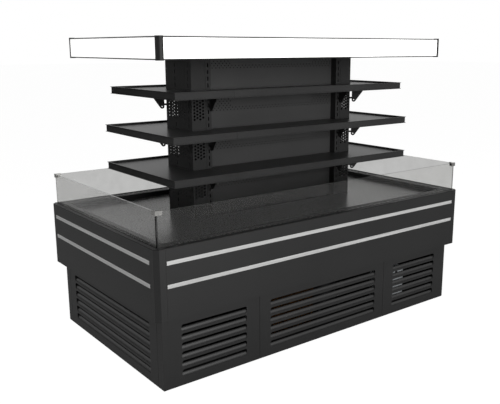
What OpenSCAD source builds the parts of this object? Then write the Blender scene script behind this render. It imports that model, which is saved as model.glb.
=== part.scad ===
// Refrigerated island display case: open tank with low glass, a slotted centre
// column with three tiers of shelves, and a lit canopy on top.
// Origin: on the floor, under the middle of the case. +X runs along its length,
// -Y is the front and +Z is up. Millimetres.

/* [Cabinet] */
// Length of the cabinet over its skirt panels
case_length = 2030; // [1960:5:2200]
// Depth of the cabinet over its skirt panels
case_depth = 1144; // [1100:2:1240]
// Height of the rim above the floor
rim_height = 673; // [660:1:700]
// Height of the skirt's lower edge above the floor
skirt_bottom = 346; // [336:1:352]
// Leg of the chamfer on each upright corner
corner_chamfer = 20; // [12:1:28]
// Width of a corner post on each side, chamfer included
post_flange = 50; // [40:1:70]
// Thickness of the folded sheet steel
sheet = 2; // [1.5:0.5:2.5]
// Thickness of the tank's insulated walls
tank_wall = 24; // [22:1:30]
// Thickness of the tank's insulated floor
tank_floor = 50; // [40:1:60]

/* [Bumper strips] */
// Height of a strip
strip_height = 18; // [12:1:24]
// How far a strip stands out from the skirt
strip_depth = 1.5; // [1:0.5:4]
// Drop from the rim to the upper strip's top edge
upper_strip_drop = 58; // [48:1:70]
// Drop from the rim to the lower strip's top edge
lower_strip_drop = 163; // [140:1:180]
// Distance from a strip's end to the cabinet's corner
strip_end = 54; // [50:1:80]

/* [Base] */
// How far the base stands back under the skirt
base_setback = 41; // [34:1:48]
// Side of the square frame tube
rail = 40; // [36:1:42]
// Length of the middle panel on the front and on the back
middle_panel_length = 874; // [800:2:940]
// Leg of the corner panels that turns the corner
panel_return = 46; // [42:1:60]
// Gap between the panels and the floor
floor_gap = 3; // [2:0.5:6]
// Louvres in each panel
louvre_count = 6; // [3:1:6]
// Height of the top louvre's upper edge above the floor
louvre_top = 294; // [290:1:296]
// Distance from one louvre to the next
louvre_pitch = 43.4; // [42:0.2:44]
// Height of one louvre
louvre_height = 32; // [26:1:32]
// How deep the blade's upper edge lies behind the panel
louvre_depth = 9; // [6:1:14]
// Open gap above a blade's upper edge
louvre_gap = 15; // [8:1:18]
// Plain margin from the cabinet's corner to the louvres
louvre_corner_margin = 98; // [90:1:120]
// Plain margin from a corner panel's inner joint to the louvres
louvre_inner_margin = 77; // [60:1:90]
// Plain margin at both ends of the other panels
louvre_plain_margin = 66; // [60:1:90]

/* [Rim and glass] */
// Width of the rim seen from above
rim_width = 76; // [70:1:90]
// Thickness of the rim's folded sheet
rim_sheet = 3; // [2:0.5:4]
// Width of the ledge inside the rim that carries the deck
ledge = 12; // [8:1:16]
// Width of the air grille in the rim
grille_width = 19; // [16:1:22]
// Distance from the glass to the air grille
grille_offset = 2; // [2:0.5:6]
// Distance from an air grille's end to the cabinet's corner
grille_margin = 90; // [85:1:120]
// Rows of slots in an air grille
grille_rows = 3; // [2:1:3]
// Thickness of the glass
glass_thickness = 6; // [4:1:8]
// Height of the glass above the rim
glass_height = 159; // [120:1:180]
// Depth of the groove that the glass stands in
glass_seat = 10; // [6:1:14]
// Leg of a glass clip along each pane
clip_leg = 30; // [20:1:36]
// Height of a glass clip
clip_height = 20; // [14:1:26]
// Wall of a glass clip
clip_wall = 3; // [2:0.5:4]

/* [Deck] */
// Drop from the rim to the deck
deck_drop = 26; // [20:1:34]
// Depth of the stiffening flange under a deck pan
deck_flange = 14; // [8:1:18]
// Length of a finger slot in the deck
finger_slot_length = 24; // [18:1:30]
// Width of a finger slot in the deck
finger_slot_width = 8; // [6:1:12]
// Distance from the rim's inner edge to a finger slot, each way
finger_slot_inset = 62; // [40:1:90]

/* [Column] */
// Length of the centre column
column_length = 1083; // [1060:1:1110]
// Depth of the centre column
column_depth = 247; // [236:1:260]
// Length of the recess between the uprights
recess_length = 854; // [800:2:880]
// Depth of that recess
recess_depth = 40; // [30:1:46]
// Width of an upright's slotted face
upright_width = 34; // [30:1:40]
// Width of the narrow casing on a column end
narrow_casing = 60; // [50:1:70]
// Distance from one bracket slot to the next
slot_pitch = 32.9; // [32:0.1:34]
// Height of a bracket slot
slot_height = 20; // [18:1:24]
// Width of a bracket slot
slot_width = 6; // [4.5:0.5:7]
// Width and depth of the groove beside each upright
upright_groove = 1.5; // [1:0.25:1.75]

/* [Shelves] */
// Height of the top tier's rail above the floor
top_tier_height = 1300; // [1285:1:1310]
// Bracket slots from one tier to the next
slots_between_tiers = 6; // [6:1:6]
// Reach of the top tier beyond the column's ends
top_end_reach = 209; // [200:1:230]
// Reach of the top tier beyond the column's sides
top_side_reach = 199; // [190:1:220]
// Reach of the lower tiers beyond the column's ends
lower_end_reach = 237; // [220:1:250]
// Reach of the lower tiers beyond the column's sides
lower_side_reach = 222; // [210:1:240]
// Height of the price rail round each tier
price_rail_height = 36; // [28:1:40]
// How far the price rail's lips stand out
lip = 4; // [2:0.5:6]
// Drop from the price rail's top to the shelf surface
surface_drop = 10; // [6:1:14]
// Thickness of a shelf pan
pan_thickness = 3; // [2:0.5:4]

/* [Brackets] */
// Thickness of a bracket plate
bracket_thickness = 3; // [2.5:0.5:3.5]
// Reach of a bracket from the column
bracket_reach = 150; // [130:1:165]
// Gap between the bracket plate and the column
bracket_gap = 11; // [8:1:14]
// Width of the flange that carries the pans
bracket_flange = 60; // [50:1:70]
// Distance from the column to the knee of the bracket's lower edge
bracket_knee = 77; // [70:1:90]
// Drop from the rail's top to that knee
knee_drop = 47; // [44:1:54]
// Radius of the bracket's round lower tip
tip_radius = 12; // [9:1:12]
// Drop from the rail's top to the tip's hole
tip_drop = 101; // [98:1:106]
// Radius of the tip's hole
tip_hole_radius = 3; // [2:0.5:5]
// Height of a hook
hook_height = 10; // [8:1:12]
// How far a hook goes into the column
hook_depth = 6; // [4:1:10]

/* [Canopy] */
// Length of the canopy
canopy_length = 1818; // [1700:1:1900]
// Depth of the canopy
canopy_depth = 938; // [860:1:1000]
// Height of the canopy's underside above the floor
canopy_bottom = 1446; // [1434:1:1480]
// Height of the canopy box
canopy_height = 98; // [80:1:120]
// Side of a canopy corner post
canopy_post = 26; // [20:1:34]
// How far a canopy post stands past the rails, above and below
canopy_post_end = 2; // [1:0.5:4]
// Height of a canopy rail
canopy_rail_height = 5; // [4:1:10]
// Width of a canopy rail
canopy_rail_width = 12; // [8:1:16]
// Width of a light bar in the canopy's underside
light_width = 22; // [16:1:30]
// Height of a light bar
light_height = 14; // [10:1:18]
// Length of a light bar
light_length = 1500; // [1200:10:1600]

/* [Machinery] */
// Radius of the compressor's can
compressor_radius = 88; // [80:1:95]
// Height of the compressor's can
compressor_height = 190; // [160:1:200]
// Length of the condenser coil
condenser_length = 400; // [340:2:420]
// Height of the condenser coil
condenser_height = 220; // [200:1:235]
// Thickness of the condenser coil
condenser_thickness = 48; // [40:1:60]
// Radius of the condenser fan
condenser_fan_radius = 95; // [80:1:98]
// Length of the evaporator coil
evaporator_length = 760; // [700:2:780]
// Depth of the evaporator coil
evaporator_depth = 150; // [120:1:156]
// Height of the evaporator coil
evaporator_height = 120; // [100:1:150]
// Radius of an evaporator fan
evaporator_fan_radius = 85; // [70:1:88]
// Radius of the copper pipes
pipe_radius = 6; // [4:0.5:8]
// Width of the control box
control_width = 170; // [150:1:190]
// Height of the control box
control_height = 180; // [150:1:200]
// Depth of the control box
control_depth = 100; // [90:1:120]

/* [Hidden] */
$fn = 48;

// Gap between a piece and the piece that it rests on or fits into
fit = 0.3;
// Visible joint between neighbouring sheets
seam = 0.6;
// Gap around a piece that lifts or slides past another
slide_gap = 1;
// How far a cut runs past the faces that it opens
overrun = 1;

// Plan sizes of the cabinet
half_l = case_length / 2;
half_d = case_depth / 2;
base_half_l = half_l - base_setback;
base_half_d = half_d - base_setback;
tank_half_l = half_l - sheet;
tank_half_d = half_d - sheet;
well_half_l = tank_half_l - tank_wall;
well_half_d = tank_half_d - tank_wall;

// Heights
rim_under = rim_height - rim_sheet;
floor_top = skirt_bottom + tank_floor;
deck_top = rim_height - deck_drop;
deck_under = deck_top - sheet;
shelf_pitch = slots_between_tiers * slot_pitch;
middle_tier_height = top_tier_height - shelf_pitch;
bottom_tier_height = middle_tier_height - shelf_pitch;
tier_heights = [bottom_tier_height, middle_tier_height, top_tier_height];
canopy_top = canopy_bottom + canopy_height;
pan_under_drop = surface_drop + pan_thickness;

// Column sizes
column_half_l = column_length / 2;
column_half_d = column_depth / 2;
recess_half = recess_length / 2;
bay_plane = column_half_d - recess_depth;
casing_start = recess_half + upright_width;
upright_slot_x = recess_half + upright_width / 2;
narrow_edge = column_half_d - narrow_casing;
narrow_slot_y = column_half_d - narrow_casing / 2;
wide_slot_y = (column_half_d - narrow_edge) / 2;

// Bracket hooks: the lower one sits at the foot of its slot, the upper one two slots up
hook_drop = tip_drop - hook_height - hook_depth;
hooks_apart = 2;
slot_search = 60;
slot_levels = [for (k = [-slot_search:slot_search])
    let (z = top_tier_height - hook_drop + k * slot_pitch)
    if (z > deck_top + slot_height && z < canopy_bottom - slot_height) z];

// Glass
glass_inset = sheet + tank_wall - glass_thickness;
glass_l = half_l - glass_inset;
glass_d = half_d - glass_inset;
glass_bottom = rim_under - glass_seat;
glass_top = rim_height + glass_height;
grille_start = glass_inset + glass_thickness + grille_offset;

// Base frame
rail_out_l = base_half_l - sheet - fit;
rail_out_d = base_half_d - sheet - fit;
rail_in_l = rail_out_l - rail;
rail_in_d = rail_out_d - rail;
rail_top = skirt_bottom;
joint_x = middle_panel_length / 2;
tray_top = rail + rim_sheet;

// Colours
charcoal = [0.19, 0.19, 0.19];
black_steel = [0.1, 0.1, 0.1];
silver = [0.75, 0.75, 0.73];
deck_grey = [0.35, 0.35, 0.35];
zinc = [0.62, 0.64, 0.66];
foam = [0.86, 0.8, 0.6];
panel_white = [0.96, 0.96, 0.96];
copper = [0.72, 0.42, 0.26];
glass_tint = [0.75, 0.8, 0.8, 0.4];

// Block between two opposite corners
module block(low, high) translate(low) cube(high - low);

// The children, and their mirror image at the other end
module both_ends() {
    children();
    mirror([1, 0, 0]) children();
}

// The children, and their mirror image at the back
module both_sides() {
    children();
    mirror([0, 1, 0]) children();
}

// The children at all four corners
module four_corners() both_ends() both_sides() children();

// Turns a piece made for the front, of half length l and half depth d, to the left end
module to_left_end() rotate([0, 0, -90]) children();

// Extrudes a plan outline between two heights
module plate_between(z0, z1) translate([0, 0, z0]) linear_extrude(z1 - z0) children();

// Band with mitred ends along the front of a rectangle, from depth d0 to depth d1
function band(l, d, d0, d1) =
    [[-l + d0, -d + d0], [l - d0, -d + d0], [l - d1, -d + d1], [-l + d1, -d + d1]];

// Rectangle with its corners cut off
function chamfered(l, d, c) = [[-l, -d + c], [-l + c, -d], [l - c, -d], [l, -d + c],
    [l, d - c], [l - c, d], [-l + c, d], [-l, d - c]];

// Leg of a chamfer after its faces move inward by t
function inset_chamfer(c, t) = c - t * (2 - sqrt(2));

// Rod between two points
module rod(p, q, r) {
    span = q - p;
    translate(p)
        rotate([0, acos(span[2] / norm(span)), atan2(span[1], span[0])])
            cylinder(h = norm(span), r = r);
}

// Straight pipes through a list of points, with a brazed elbow at each turn
module pipe(points, r) {
    elbow_share = 1.3;
    for (i = [1:len(points) - 1]) rod(points[i - 1], points[i], r);
    for (i = [1:len(points) - 2]) translate(points[i]) sphere(r = r * elbow_share);
}

// Base frame: floor ring, top ring, and legs at the corners and behind the panel joints
module base_rails() color(black_steel) {
    for (z = [0, rail_top - rail]) {
        both_sides() block([-rail_out_l, -rail_out_d, z], [rail_out_l, -rail_in_d, z + rail]);
        both_ends() block([-rail_out_l, -rail_in_d, z], [-rail_in_l, rail_in_d, z + rail]);
        both_ends() block([joint_x - rail / 2, -rail_in_d, z], [joint_x + rail / 2, rail_in_d, z + rail]);
    }
    four_corners() {
        block([rail_in_l, rail_in_d, rail], [rail_out_l, rail_out_d, rail_top - rail]);
        block([joint_x - rail / 2, rail_in_d, rail], [joint_x + rail / 2, rail_out_d, rail_top - rail]);
    }
}

// Drip tray over the whole floor ring; it carries the condensing unit
module machine_tray() color(black_steel) {
    tray_rim = 12;
    tray_l = rail_in_l + rail / 2;
    tray_d = rail_in_d - slide_gap;
    block([-tray_l, -tray_d, rail], [tray_l, tray_d, tray_top]);
    both_sides() block([-tray_l, -tray_d, tray_top], [tray_l, -tray_d + sheet, tray_top + tray_rim]);
    both_ends() block([-tray_l, -tray_d + sheet, tray_top],
        [-tray_l + sheet, tray_d - sheet, tray_top + tray_rim]);
}

// Groove along the front wall that the glass stands in
module glass_groove(l, d) {
    block([-l - fit, -d - fit, glass_bottom],
          [l + fit, -d + glass_thickness + overrun, rim_height + overrun]);
}

pipe_hatch_x = 250;
pipe_hatch_y = 40;
pipe_hatch_l = 70;
pipe_hatch_d = 40;

// Insulated tank: floor panel and four wall panels
module insulated_tank() color(foam) {
    c = inset_chamfer(corner_chamfer, sheet);
    difference() {
        plate_between(skirt_bottom, floor_top) polygon(chamfered(tank_half_l, tank_half_d, c));
        block([pipe_hatch_x, pipe_hatch_y, skirt_bottom - overrun],
              [pipe_hatch_x + pipe_hatch_l, pipe_hatch_y + pipe_hatch_d, floor_top + overrun]);
    }
    both_sides() difference() {
        plate_between(floor_top, rim_under) polygon([
            [-tank_half_l, -well_half_d], [-tank_half_l, -tank_half_d + c],
            [-tank_half_l + c, -tank_half_d], [tank_half_l - c, -tank_half_d],
            [tank_half_l, -tank_half_d + c], [tank_half_l, -well_half_d]]);
        glass_groove(well_half_l - slide_gap, glass_d);
    }
    both_ends() difference() {
        block([-tank_half_l, -well_half_d, floor_top], [-well_half_l, well_half_d, rim_under]);
        to_left_end() glass_groove(well_half_d - slide_gap, glass_l);
    }
}

// Skirt panel along the front of a cabinet of half length l and half depth d
module skirt(l, d) color(charcoal)
    block([-l + post_flange + seam, -d, skirt_bottom], [l - post_flange - seam, -d + sheet, rim_under]);

module front_skirt() skirt(half_l, half_d);
module back_skirt() mirror([0, 1, 0]) skirt(half_l, half_d);
module left_skirt() to_left_end() skirt(half_d, half_l);
module right_skirt() mirror([1, 0, 0]) left_skirt();

// Chamfered corner posts that join the skirt panels
module corner_posts() color(charcoal) {
    c = inset_chamfer(corner_chamfer, sheet);
    four_corners() plate_between(skirt_bottom, rim_under) polygon([
        [-half_l, -half_d + post_flange], [-half_l, -half_d + corner_chamfer],
        [-half_l + corner_chamfer, -half_d], [-half_l + post_flange, -half_d],
        [-half_l + post_flange, -tank_half_d], [-tank_half_l + c, -tank_half_d],
        [-tank_half_l, -tank_half_d + c], [-tank_half_l, -half_d + post_flange]]);
}

// Outline of a bumper strip: a flat bar with both long edges bevelled
function strip_outline() = let (b = strip_depth / 3)
    [[0, 0], [strip_depth - b, 0], [strip_depth, b], [strip_depth, strip_height - b],
     [strip_depth - b, strip_height], [0, strip_height]];

module bumper_strip(l, d, z) translate([-l + strip_end, -d, z])
    rotate([90, 0, 90]) mirror([1, 0, 0]) linear_extrude(2 * (l - strip_end)) polygon(strip_outline());

// Two silver bumper strips on each side of the cabinet
module bumper_strips() color(silver)
    for (drop = [upper_strip_drop, lower_strip_drop]) {
        both_sides() bumper_strip(half_l, half_d, rim_height - drop - strip_height);
        both_ends() to_left_end() bumper_strip(half_d, half_l, rim_height - drop - strip_height);
    }

// Window in a rim cap for its air grille
module grille_window(l, d, z0, z1)
    block([-l + grille_margin, -d + grille_start, z0], [l - grille_margin, -d + grille_start + grille_width, z1]);

// Folded rim cap along the front: top, inner lip and the ledge for the deck
module rim_cap(l, d) {
    lip_start = rim_width - rim_sheet;
    ledge_top = deck_under - fit;
    difference() {
        plate_between(rim_under, rim_height) intersection() {
            polygon(band(l, d, 0, rim_width));
            polygon(chamfered(l, d, corner_chamfer));
        }
        grille_window(l, d, rim_under - overrun, rim_height + overrun);
        glass_groove(l - sheet - tank_wall - slide_gap, d - glass_inset);
    }
    plate_between(ledge_top - rim_sheet, rim_under) polygon(band(l, d, lip_start, rim_width));
    plate_between(ledge_top - rim_sheet, ledge_top) polygon(band(l, d, rim_width, rim_width + ledge));
}

module rim_caps() color(charcoal) {
    both_sides() rim_cap(half_l, half_d);
    both_ends() to_left_end() rim_cap(half_d, half_l);
}

// Slotted air grille in a rim cap
module air_grille(l, d) {
    strip_t = rim_sheet - overrun;
    slot_l = 60;
    slot_gap = 14;
    row_share = 0.4;
    run = 2 * (l - grille_margin);
    slots = floor((run - slot_gap) / (slot_l + slot_gap));
    start = -(slots * (slot_l + slot_gap) - slot_gap) / 2;
    row_pitch = grille_width / grille_rows;
    row_w = row_pitch * row_share;
    first_row = -d + grille_start + (row_pitch - row_w) / 2;
    plate_between(rim_under, rim_under + strip_t) difference() {
        translate([-run / 2, -d + grille_start]) square([run, grille_width]);
        for (i = [0:slots - 1], row = [0:grille_rows - 1])
            translate([start + i * (slot_l + slot_gap), first_row + row * row_pitch])
                square([slot_l, row_w]);
    }
}

module air_grilles() color(charcoal) {
    both_sides() air_grille(half_l, half_d);
    both_ends() to_left_end() air_grille(half_d, half_l);
}

// Pane along the front of a rectangle of half length l and half depth d
module pane(l, d) color(glass_tint)
    block([-l + slide_gap, -d, glass_bottom], [l - slide_gap, -d + glass_thickness, glass_top]);

module long_glass() both_sides() pane(well_half_l, glass_d);
module end_glass() both_ends() to_left_end() pane(well_half_d, glass_l);

// Clip that holds two panes together at their top corner
module glass_clips() color(silver) four_corners() difference() {
    union() {
        block([-glass_l - clip_wall, -glass_d - clip_wall, glass_top - clip_height + clip_wall],
              [-glass_l + clip_leg, -glass_d + glass_thickness + clip_wall, glass_top + clip_wall]);
        block([-glass_l - clip_wall, -glass_d - clip_wall, glass_top - clip_height + clip_wall],
              [-glass_l + glass_thickness + clip_wall, -glass_d + clip_leg, glass_top + clip_wall]);
    }
    pane(well_half_l, glass_d);
    to_left_end() pane(well_half_d, glass_l);
}

// Deck pans lie on the rim's ledge and on the ledge round the column
deck_l = half_l - rim_width - slide_gap;
deck_d = half_d - rim_width - slide_gap;
deck_joint_x = casing_start - slide_gap;

module front_deck_pan() color(deck_grey) {
    inner = column_half_d + slide_gap;
    flange_d = ledge + slide_gap;
    block([-deck_joint_x + seam, -deck_d, deck_under], [deck_joint_x - seam, -inner, deck_top]);
    for (y = [-deck_d + flange_d, -inner - flange_d - sheet])
        block([-deck_joint_x + flange_d, y, deck_under - deck_flange],
              [deck_joint_x - flange_d, y + sheet, deck_under]);
}

module back_deck_pan() mirror([0, 1, 0]) front_deck_pan();

module left_deck_pan() color(deck_grey) {
    reach = column_half_l + slide_gap;
    inner = column_half_d + slide_gap;
    flange_d = ledge + slide_gap;
    slot_x = -deck_l + finger_slot_inset;
    slot_y = deck_d - finger_slot_inset;
    plate_between(deck_under, deck_top) difference() {
        translate([-deck_l, -deck_d]) square([deck_l - deck_joint_x - seam, 2 * deck_d]);
        translate([-reach, -inner]) square([reach, 2 * inner]);
        for (y = [-slot_y, slot_y])
            translate([slot_x - finger_slot_length / 2, y - finger_slot_width / 2])
                square([finger_slot_length, finger_slot_width]);
    }
    block([-deck_l + flange_d, -deck_d + flange_d, deck_under - deck_flange],
          [-deck_l + flange_d + sheet, deck_d - flange_d, deck_under]);
}

module right_deck_pan() mirror([1, 0, 0]) left_deck_pan();

// Row of bracket slots cut through a sheet at (x, y); the sheet's face looks along Y
module slot_row(x, y) for (z = slot_levels)
    block([x - slot_width / 2, y - sheet - overrun, z - slot_height / 2],
          [x + slot_width / 2, y + sheet + overrun, z + slot_height / 2]);

// Channels with bracket slots, from the tank floor to the canopy. A groove runs beside each slotted
// face, where it meets the casing.
module slotted_uprights() color(black_steel) four_corners() {
    x0 = -casing_start;
    x1 = -recess_half;
    difference() {
        block([x0, -column_half_d, floor_top], [x1, -bay_plane, canopy_bottom]);
        block([x0 + sheet, -column_half_d + sheet, floor_top - overrun],
              [x1 - sheet, -bay_plane + overrun, canopy_bottom + overrun]);
        block([x0 - overrun, -column_half_d - overrun, floor_top - overrun],
              [x0 + upright_groove, -column_half_d + upright_groove, canopy_bottom + overrun]);
        slot_row(-upright_slot_x, -column_half_d);
    }
}

// Corner casing at the left front: a leg along the front and a leg of length w along the end
module corner_casing(w, slot_y) {
    flange_top = deck_under - fit;
    difference() {
        union() {
            block([-column_half_l, -column_half_d, flange_top - sheet],
                  [-casing_start, -column_half_d + sheet, canopy_bottom]);
            block([-column_half_l, -column_half_d, flange_top - sheet],
                  [-column_half_l + sheet, -column_half_d + w, canopy_bottom]);
            block([-column_half_l - ledge, -column_half_d - ledge, flange_top - sheet],
                  [-casing_start, -column_half_d, flange_top]);
            block([-column_half_l - ledge, -column_half_d, flange_top - sheet],
                  [-column_half_l, -column_half_d + w, flange_top]);
        }
        to_left_end() slot_row(-slot_y, -column_half_l);
        for (z = tier_heights) corner_bracket_place() hook_clearance(z);
    }
}

// Two narrow and two wide casings close the column's corners and ends
module column_casings() color(black_steel)
    for (turn = [0, 180]) rotate([0, 0, turn]) {
        corner_casing(narrow_casing, -narrow_slot_y);
        mirror([0, 1, 0]) corner_casing(column_depth - narrow_casing, -wide_slot_y);
    }

// Recessed air panels between the uprights, one for each bay, on a sill that carries the deck
module bay_panels() color(black_steel) both_sides() {
    levels = concat([deck_under], tier_heights, [canopy_bottom]);
    air_slots = 16;
    air_slot_share = 0.55;
    air_slot_height = 6;
    air_slot_drop = 90;
    air_slot_pitch = recess_length / (air_slots + 2);
    for (i = [1:len(levels) - 1]) difference() {
        block([-recess_half, -bay_plane, levels[i - 1]],
              [recess_half, -bay_plane + sheet, levels[i] - seam]);
        for (k = [0:air_slots - 1])
            block([(k - air_slots / 2 + (1 - air_slot_share) / 2) * air_slot_pitch,
                   -bay_plane - overrun, levels[i] - air_slot_drop],
                  [(k - air_slots / 2 + (1 + air_slot_share) / 2) * air_slot_pitch,
                   -bay_plane + sheet + overrun, levels[i] - air_slot_drop + air_slot_height]);
    }
    block([-recess_half, -column_half_d - ledge, deck_under - fit - sheet],
          [recess_half, -bay_plane, deck_under - fit]);
}

// Heights of a bracket's hooks below its tier's rail top: slot foot plus a little play
function hook_levels(tier) = [for (k = [0, hooks_apart])
    tier - hook_drop + k * slot_pitch - slot_height / 2 + fit];

// Side outline of a bracket: u runs out from the column, z up from the floor. The lower edge leaves
// the round tip straight, turns at the knee and ends behind the price rail.
function bracket_outline(tier) = let (
        steps = 12,
        top = tier - pan_under_drop - fit,
        tip_u = bracket_gap + tip_radius,
        tip_z = tier - tip_drop,
        knee_z = tier - knee_drop,
        knee_reach = norm([bracket_knee - tip_u, knee_z - tip_z]),
        knee_angle = atan2(knee_z - tip_z, bracket_knee - tip_u),
        sweep = 180 + knee_angle - acos(tip_radius / knee_reach),
        end_z = tier - price_rail_height + sheet)
    concat(
        [[bracket_gap, top]],
        [for (i = [0:steps]) let (a = 180 + sweep * i / steps)
            [tip_u + tip_radius * cos(a), tip_z + tip_radius * sin(a)]],
        [[bracket_knee, knee_z], [bracket_reach, end_z], [bracket_reach, top]]);

// Bracket in the plane X = 0, reaching from Y = 0 toward -Y
module bracket(tier) {
    top = tier - pan_under_drop - fit;
    hole_sides = 12;
    translate([bracket_thickness / 2, 0, 0]) rotate([90, 0, -90]) linear_extrude(bracket_thickness)
        difference() {
            polygon(bracket_outline(tier));
            translate([bracket_gap + tip_radius, tier - tip_drop])
                circle(r = tip_hole_radius, $fn = hole_sides);
        }
    for (z = hook_levels(tier))
        block([-bracket_thickness / 2, -bracket_gap - overrun, z],
              [bracket_thickness / 2, hook_depth, z + hook_height]);
    block([-bracket_flange / 2, -bracket_reach, top - sheet], [bracket_flange / 2, -bracket_gap, top]);
}

// Space that a corner bracket's hooks need in the casing
module hook_clearance(tier) for (z = hook_levels(tier))
    block([-slot_width / 2, -slot_width, z - fit],
          [slot_width / 2, hook_depth + overrun, z - fit + slot_height]);

// Moves a bracket to the column's left front corner, pointing out along the diagonal
module corner_bracket_place() translate([-column_half_l, -column_half_d, 0]) rotate([0, 0, -45]) children();

// Straight brackets at the uprights and diagonal ones at the column's corners
module shelf_brackets() color(black_steel) for (tier = tier_heights) four_corners() {
    translate([-upright_slot_x, -column_half_d, 0]) bracket(tier);
    corner_bracket_place() bracket(tier);
}

// Plan of a tier's ring between two distances from its outer face
module tier_ring(l, d, outward, inward) difference() {
    square(2 * [l + outward, d + outward], center = true);
    square(2 * [l - inward, d - inward], center = true);
}

// Plan of the whole tier's shelf surface, with the column cut out
module tier_surface(l, d) difference() {
    square(2 * [l - sheet / 2, d - sheet / 2], center = true);
    square(2 * [column_half_l + slide_gap, column_half_d + slide_gap], center = true);
}

// Shelf made from a plan surface and the part of its ring that lies inside a plan region.
// Children: 0 is the region of the rail, 1 is the surface.
module shelf(tier, l, d) color(charcoal) {
    plate_between(tier - pan_under_drop, tier - surface_drop) children(1);
    plate_between(tier - price_rail_height, tier) intersection() {
        tier_ring(l, d, 0, sheet);
        children(0);
    }
    for (z = [tier - price_rail_height, tier - sheet])
        plate_between(z, z + sheet) intersection() {
            tier_ring(l, d, lip, sheet);
            children(0);
        }
}

// Shelf in front of the column, its surface reaching into the recess
module front_shelf(tier, end_reach, side_reach) {
    l = column_half_l + end_reach;
    d = column_half_d + side_reach;
    half = recess_half - slide_gap;
    outer = d + lip + overrun;
    shelf(tier, l, d) {
        translate([-half, -outer]) square([2 * half, outer]);
        translate([-half, -d + sheet / 2]) square([2 * half, d - sheet / 2 - bay_plane - slide_gap]);
    }
}

// Shelf that wraps the column's left end
module left_shelf(tier, end_reach, side_reach) {
    l = column_half_l + end_reach;
    d = column_half_d + side_reach;
    outer = l + lip + overrun;
    shelf(tier, l, d) {
        translate([-outer, -outer]) square([outer - recess_half, 2 * outer]);
        intersection() {
            tier_surface(l, d);
            translate([-outer, -outer]) square([outer - recess_half, 2 * outer]);
        }
    }
}

module top_front_shelf() front_shelf(top_tier_height, top_end_reach, top_side_reach);
module top_back_shelf() mirror([0, 1, 0]) top_front_shelf();
module top_left_shelf() left_shelf(top_tier_height, top_end_reach, top_side_reach);
module top_right_shelf() mirror([1, 0, 0]) top_left_shelf();
module middle_front_shelf() front_shelf(middle_tier_height, lower_end_reach, lower_side_reach);
module middle_back_shelf() mirror([0, 1, 0]) middle_front_shelf();
module middle_left_shelf() left_shelf(middle_tier_height, lower_end_reach, lower_side_reach);
module middle_right_shelf() mirror([1, 0, 0]) middle_left_shelf();
module bottom_front_shelf() front_shelf(bottom_tier_height, lower_end_reach, lower_side_reach);
module bottom_back_shelf() mirror([0, 1, 0]) bottom_front_shelf();
module bottom_left_shelf() left_shelf(bottom_tier_height, lower_end_reach, lower_side_reach);
module bottom_right_shelf() mirror([1, 0, 0]) bottom_left_shelf();

// Canopy half sizes
canopy_l = canopy_length / 2;
canopy_d = canopy_depth / 2;

// Rail along the front of the canopy, between two posts
module canopy_rail(l, d, z)
    block([-l + canopy_post, -d, z], [l - canopy_post, -d + canopy_rail_width, z + canopy_rail_height]);

// Plan outline of a canopy post at the origin: a square with its outer corner rounded
function post_outline() = let (
        steps = 6,
        round_share = 0.75,
        r = canopy_post * round_share)
    concat(
        [for (i = [0:steps]) let (a = 180 + 90 * i / steps) [r + r * cos(a), r + r * sin(a)]],
        [[canopy_post, 0], [canopy_post, canopy_post], [0, canopy_post]]);

// Canopy corner posts with rails between them at the top and bottom
module canopy_frame() color(black_steel) {
    four_corners() plate_between(canopy_bottom - canopy_post_end, canopy_top + canopy_post_end)
        translate([-canopy_l, -canopy_d]) polygon(post_outline());
    for (z = [canopy_bottom, canopy_top - canopy_rail_height]) {
        both_sides() canopy_rail(canopy_l, canopy_d, z);
        both_ends() to_left_end() canopy_rail(canopy_d, canopy_l, z);
    }
}

// White panel between the rails and posts
module fascia(l, d) {
    fascia_inset = 2;
    fascia_thickness = 4;
    block([-l + canopy_post, -d + fascia_inset, canopy_bottom + canopy_rail_height],
          [l - canopy_post, -d + fascia_inset + fascia_thickness, canopy_top - canopy_rail_height]);
}

module canopy_fascias() color(panel_white) {
    both_sides() fascia(canopy_l, canopy_d);
    both_ends() to_left_end() fascia(canopy_d, canopy_l);
}

// Window for a light bar of the given half width, between two heights
light_y = -column_half_d - top_side_reach;
module light_block(border, z0, z1)
    block([-light_length / 2 - border, light_y - light_width / 2 - border, z0],
          [light_length / 2 + border, light_y + light_width / 2 + border, z1]);

// Sheets that close the canopy above and below, notched round the posts. The lower one has a
// window for each light bar.
module canopy_covers() color(panel_white) difference() {
    for (z = [canopy_bottom, canopy_top - sheet]) plate_between(z, z + sheet) difference() {
        square(2 * [canopy_l - canopy_rail_width, canopy_d - canopy_rail_width], center = true);
        four_corners() translate([-canopy_l, -canopy_d]) square(canopy_post);
    }
    both_sides() light_block(fit, canopy_bottom - overrun, canopy_bottom + sheet + overrun);
}

// Light bars let into the canopy's underside, hung by a flange that lies on the lower sheet
module canopy_lights() color(panel_white) both_sides() {
    flange = 4;
    light_block(0, canopy_bottom, canopy_bottom + light_height);
    light_block(flange, canopy_bottom + sheet, canopy_bottom + 2 * sheet);
}

// Curve of a louvre blade from its foot, in the middle of the sheet: it rises upright and leans in
function blade_curve(u) = let (
        steps = 6,
        lean = 75,
        a = louvre_depth / (1 - cos(lean)),
        h = (louvre_height - louvre_gap) / sin(lean))
    [for (i = [0:steps]) let (t = lean * i / steps) [u + a * (1 - cos(t)), h * sin(t)]];

// Side outline of a blade, with its foot let into the sheet below
function blade_outline() = let (
        front = blade_curve(sheet / 2),
        back = blade_curve(sheet / 2 + sheet))
    concat([front[0] - [0, overrun]], front, [for (i = [len(back) - 1:-1:0]) back[i]],
        [back[0] - [0, overrun]]);

// Side outline of the cheek that closes a louvre's end, let into the sheet above and below
function cheek_outline() = concat(
    [[sheet / 2, -overrun]], blade_curve(sheet),
    [[louvre_depth + sheet, louvre_height + overrun], [sheet / 2, louvre_height + overrun]]);

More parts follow.
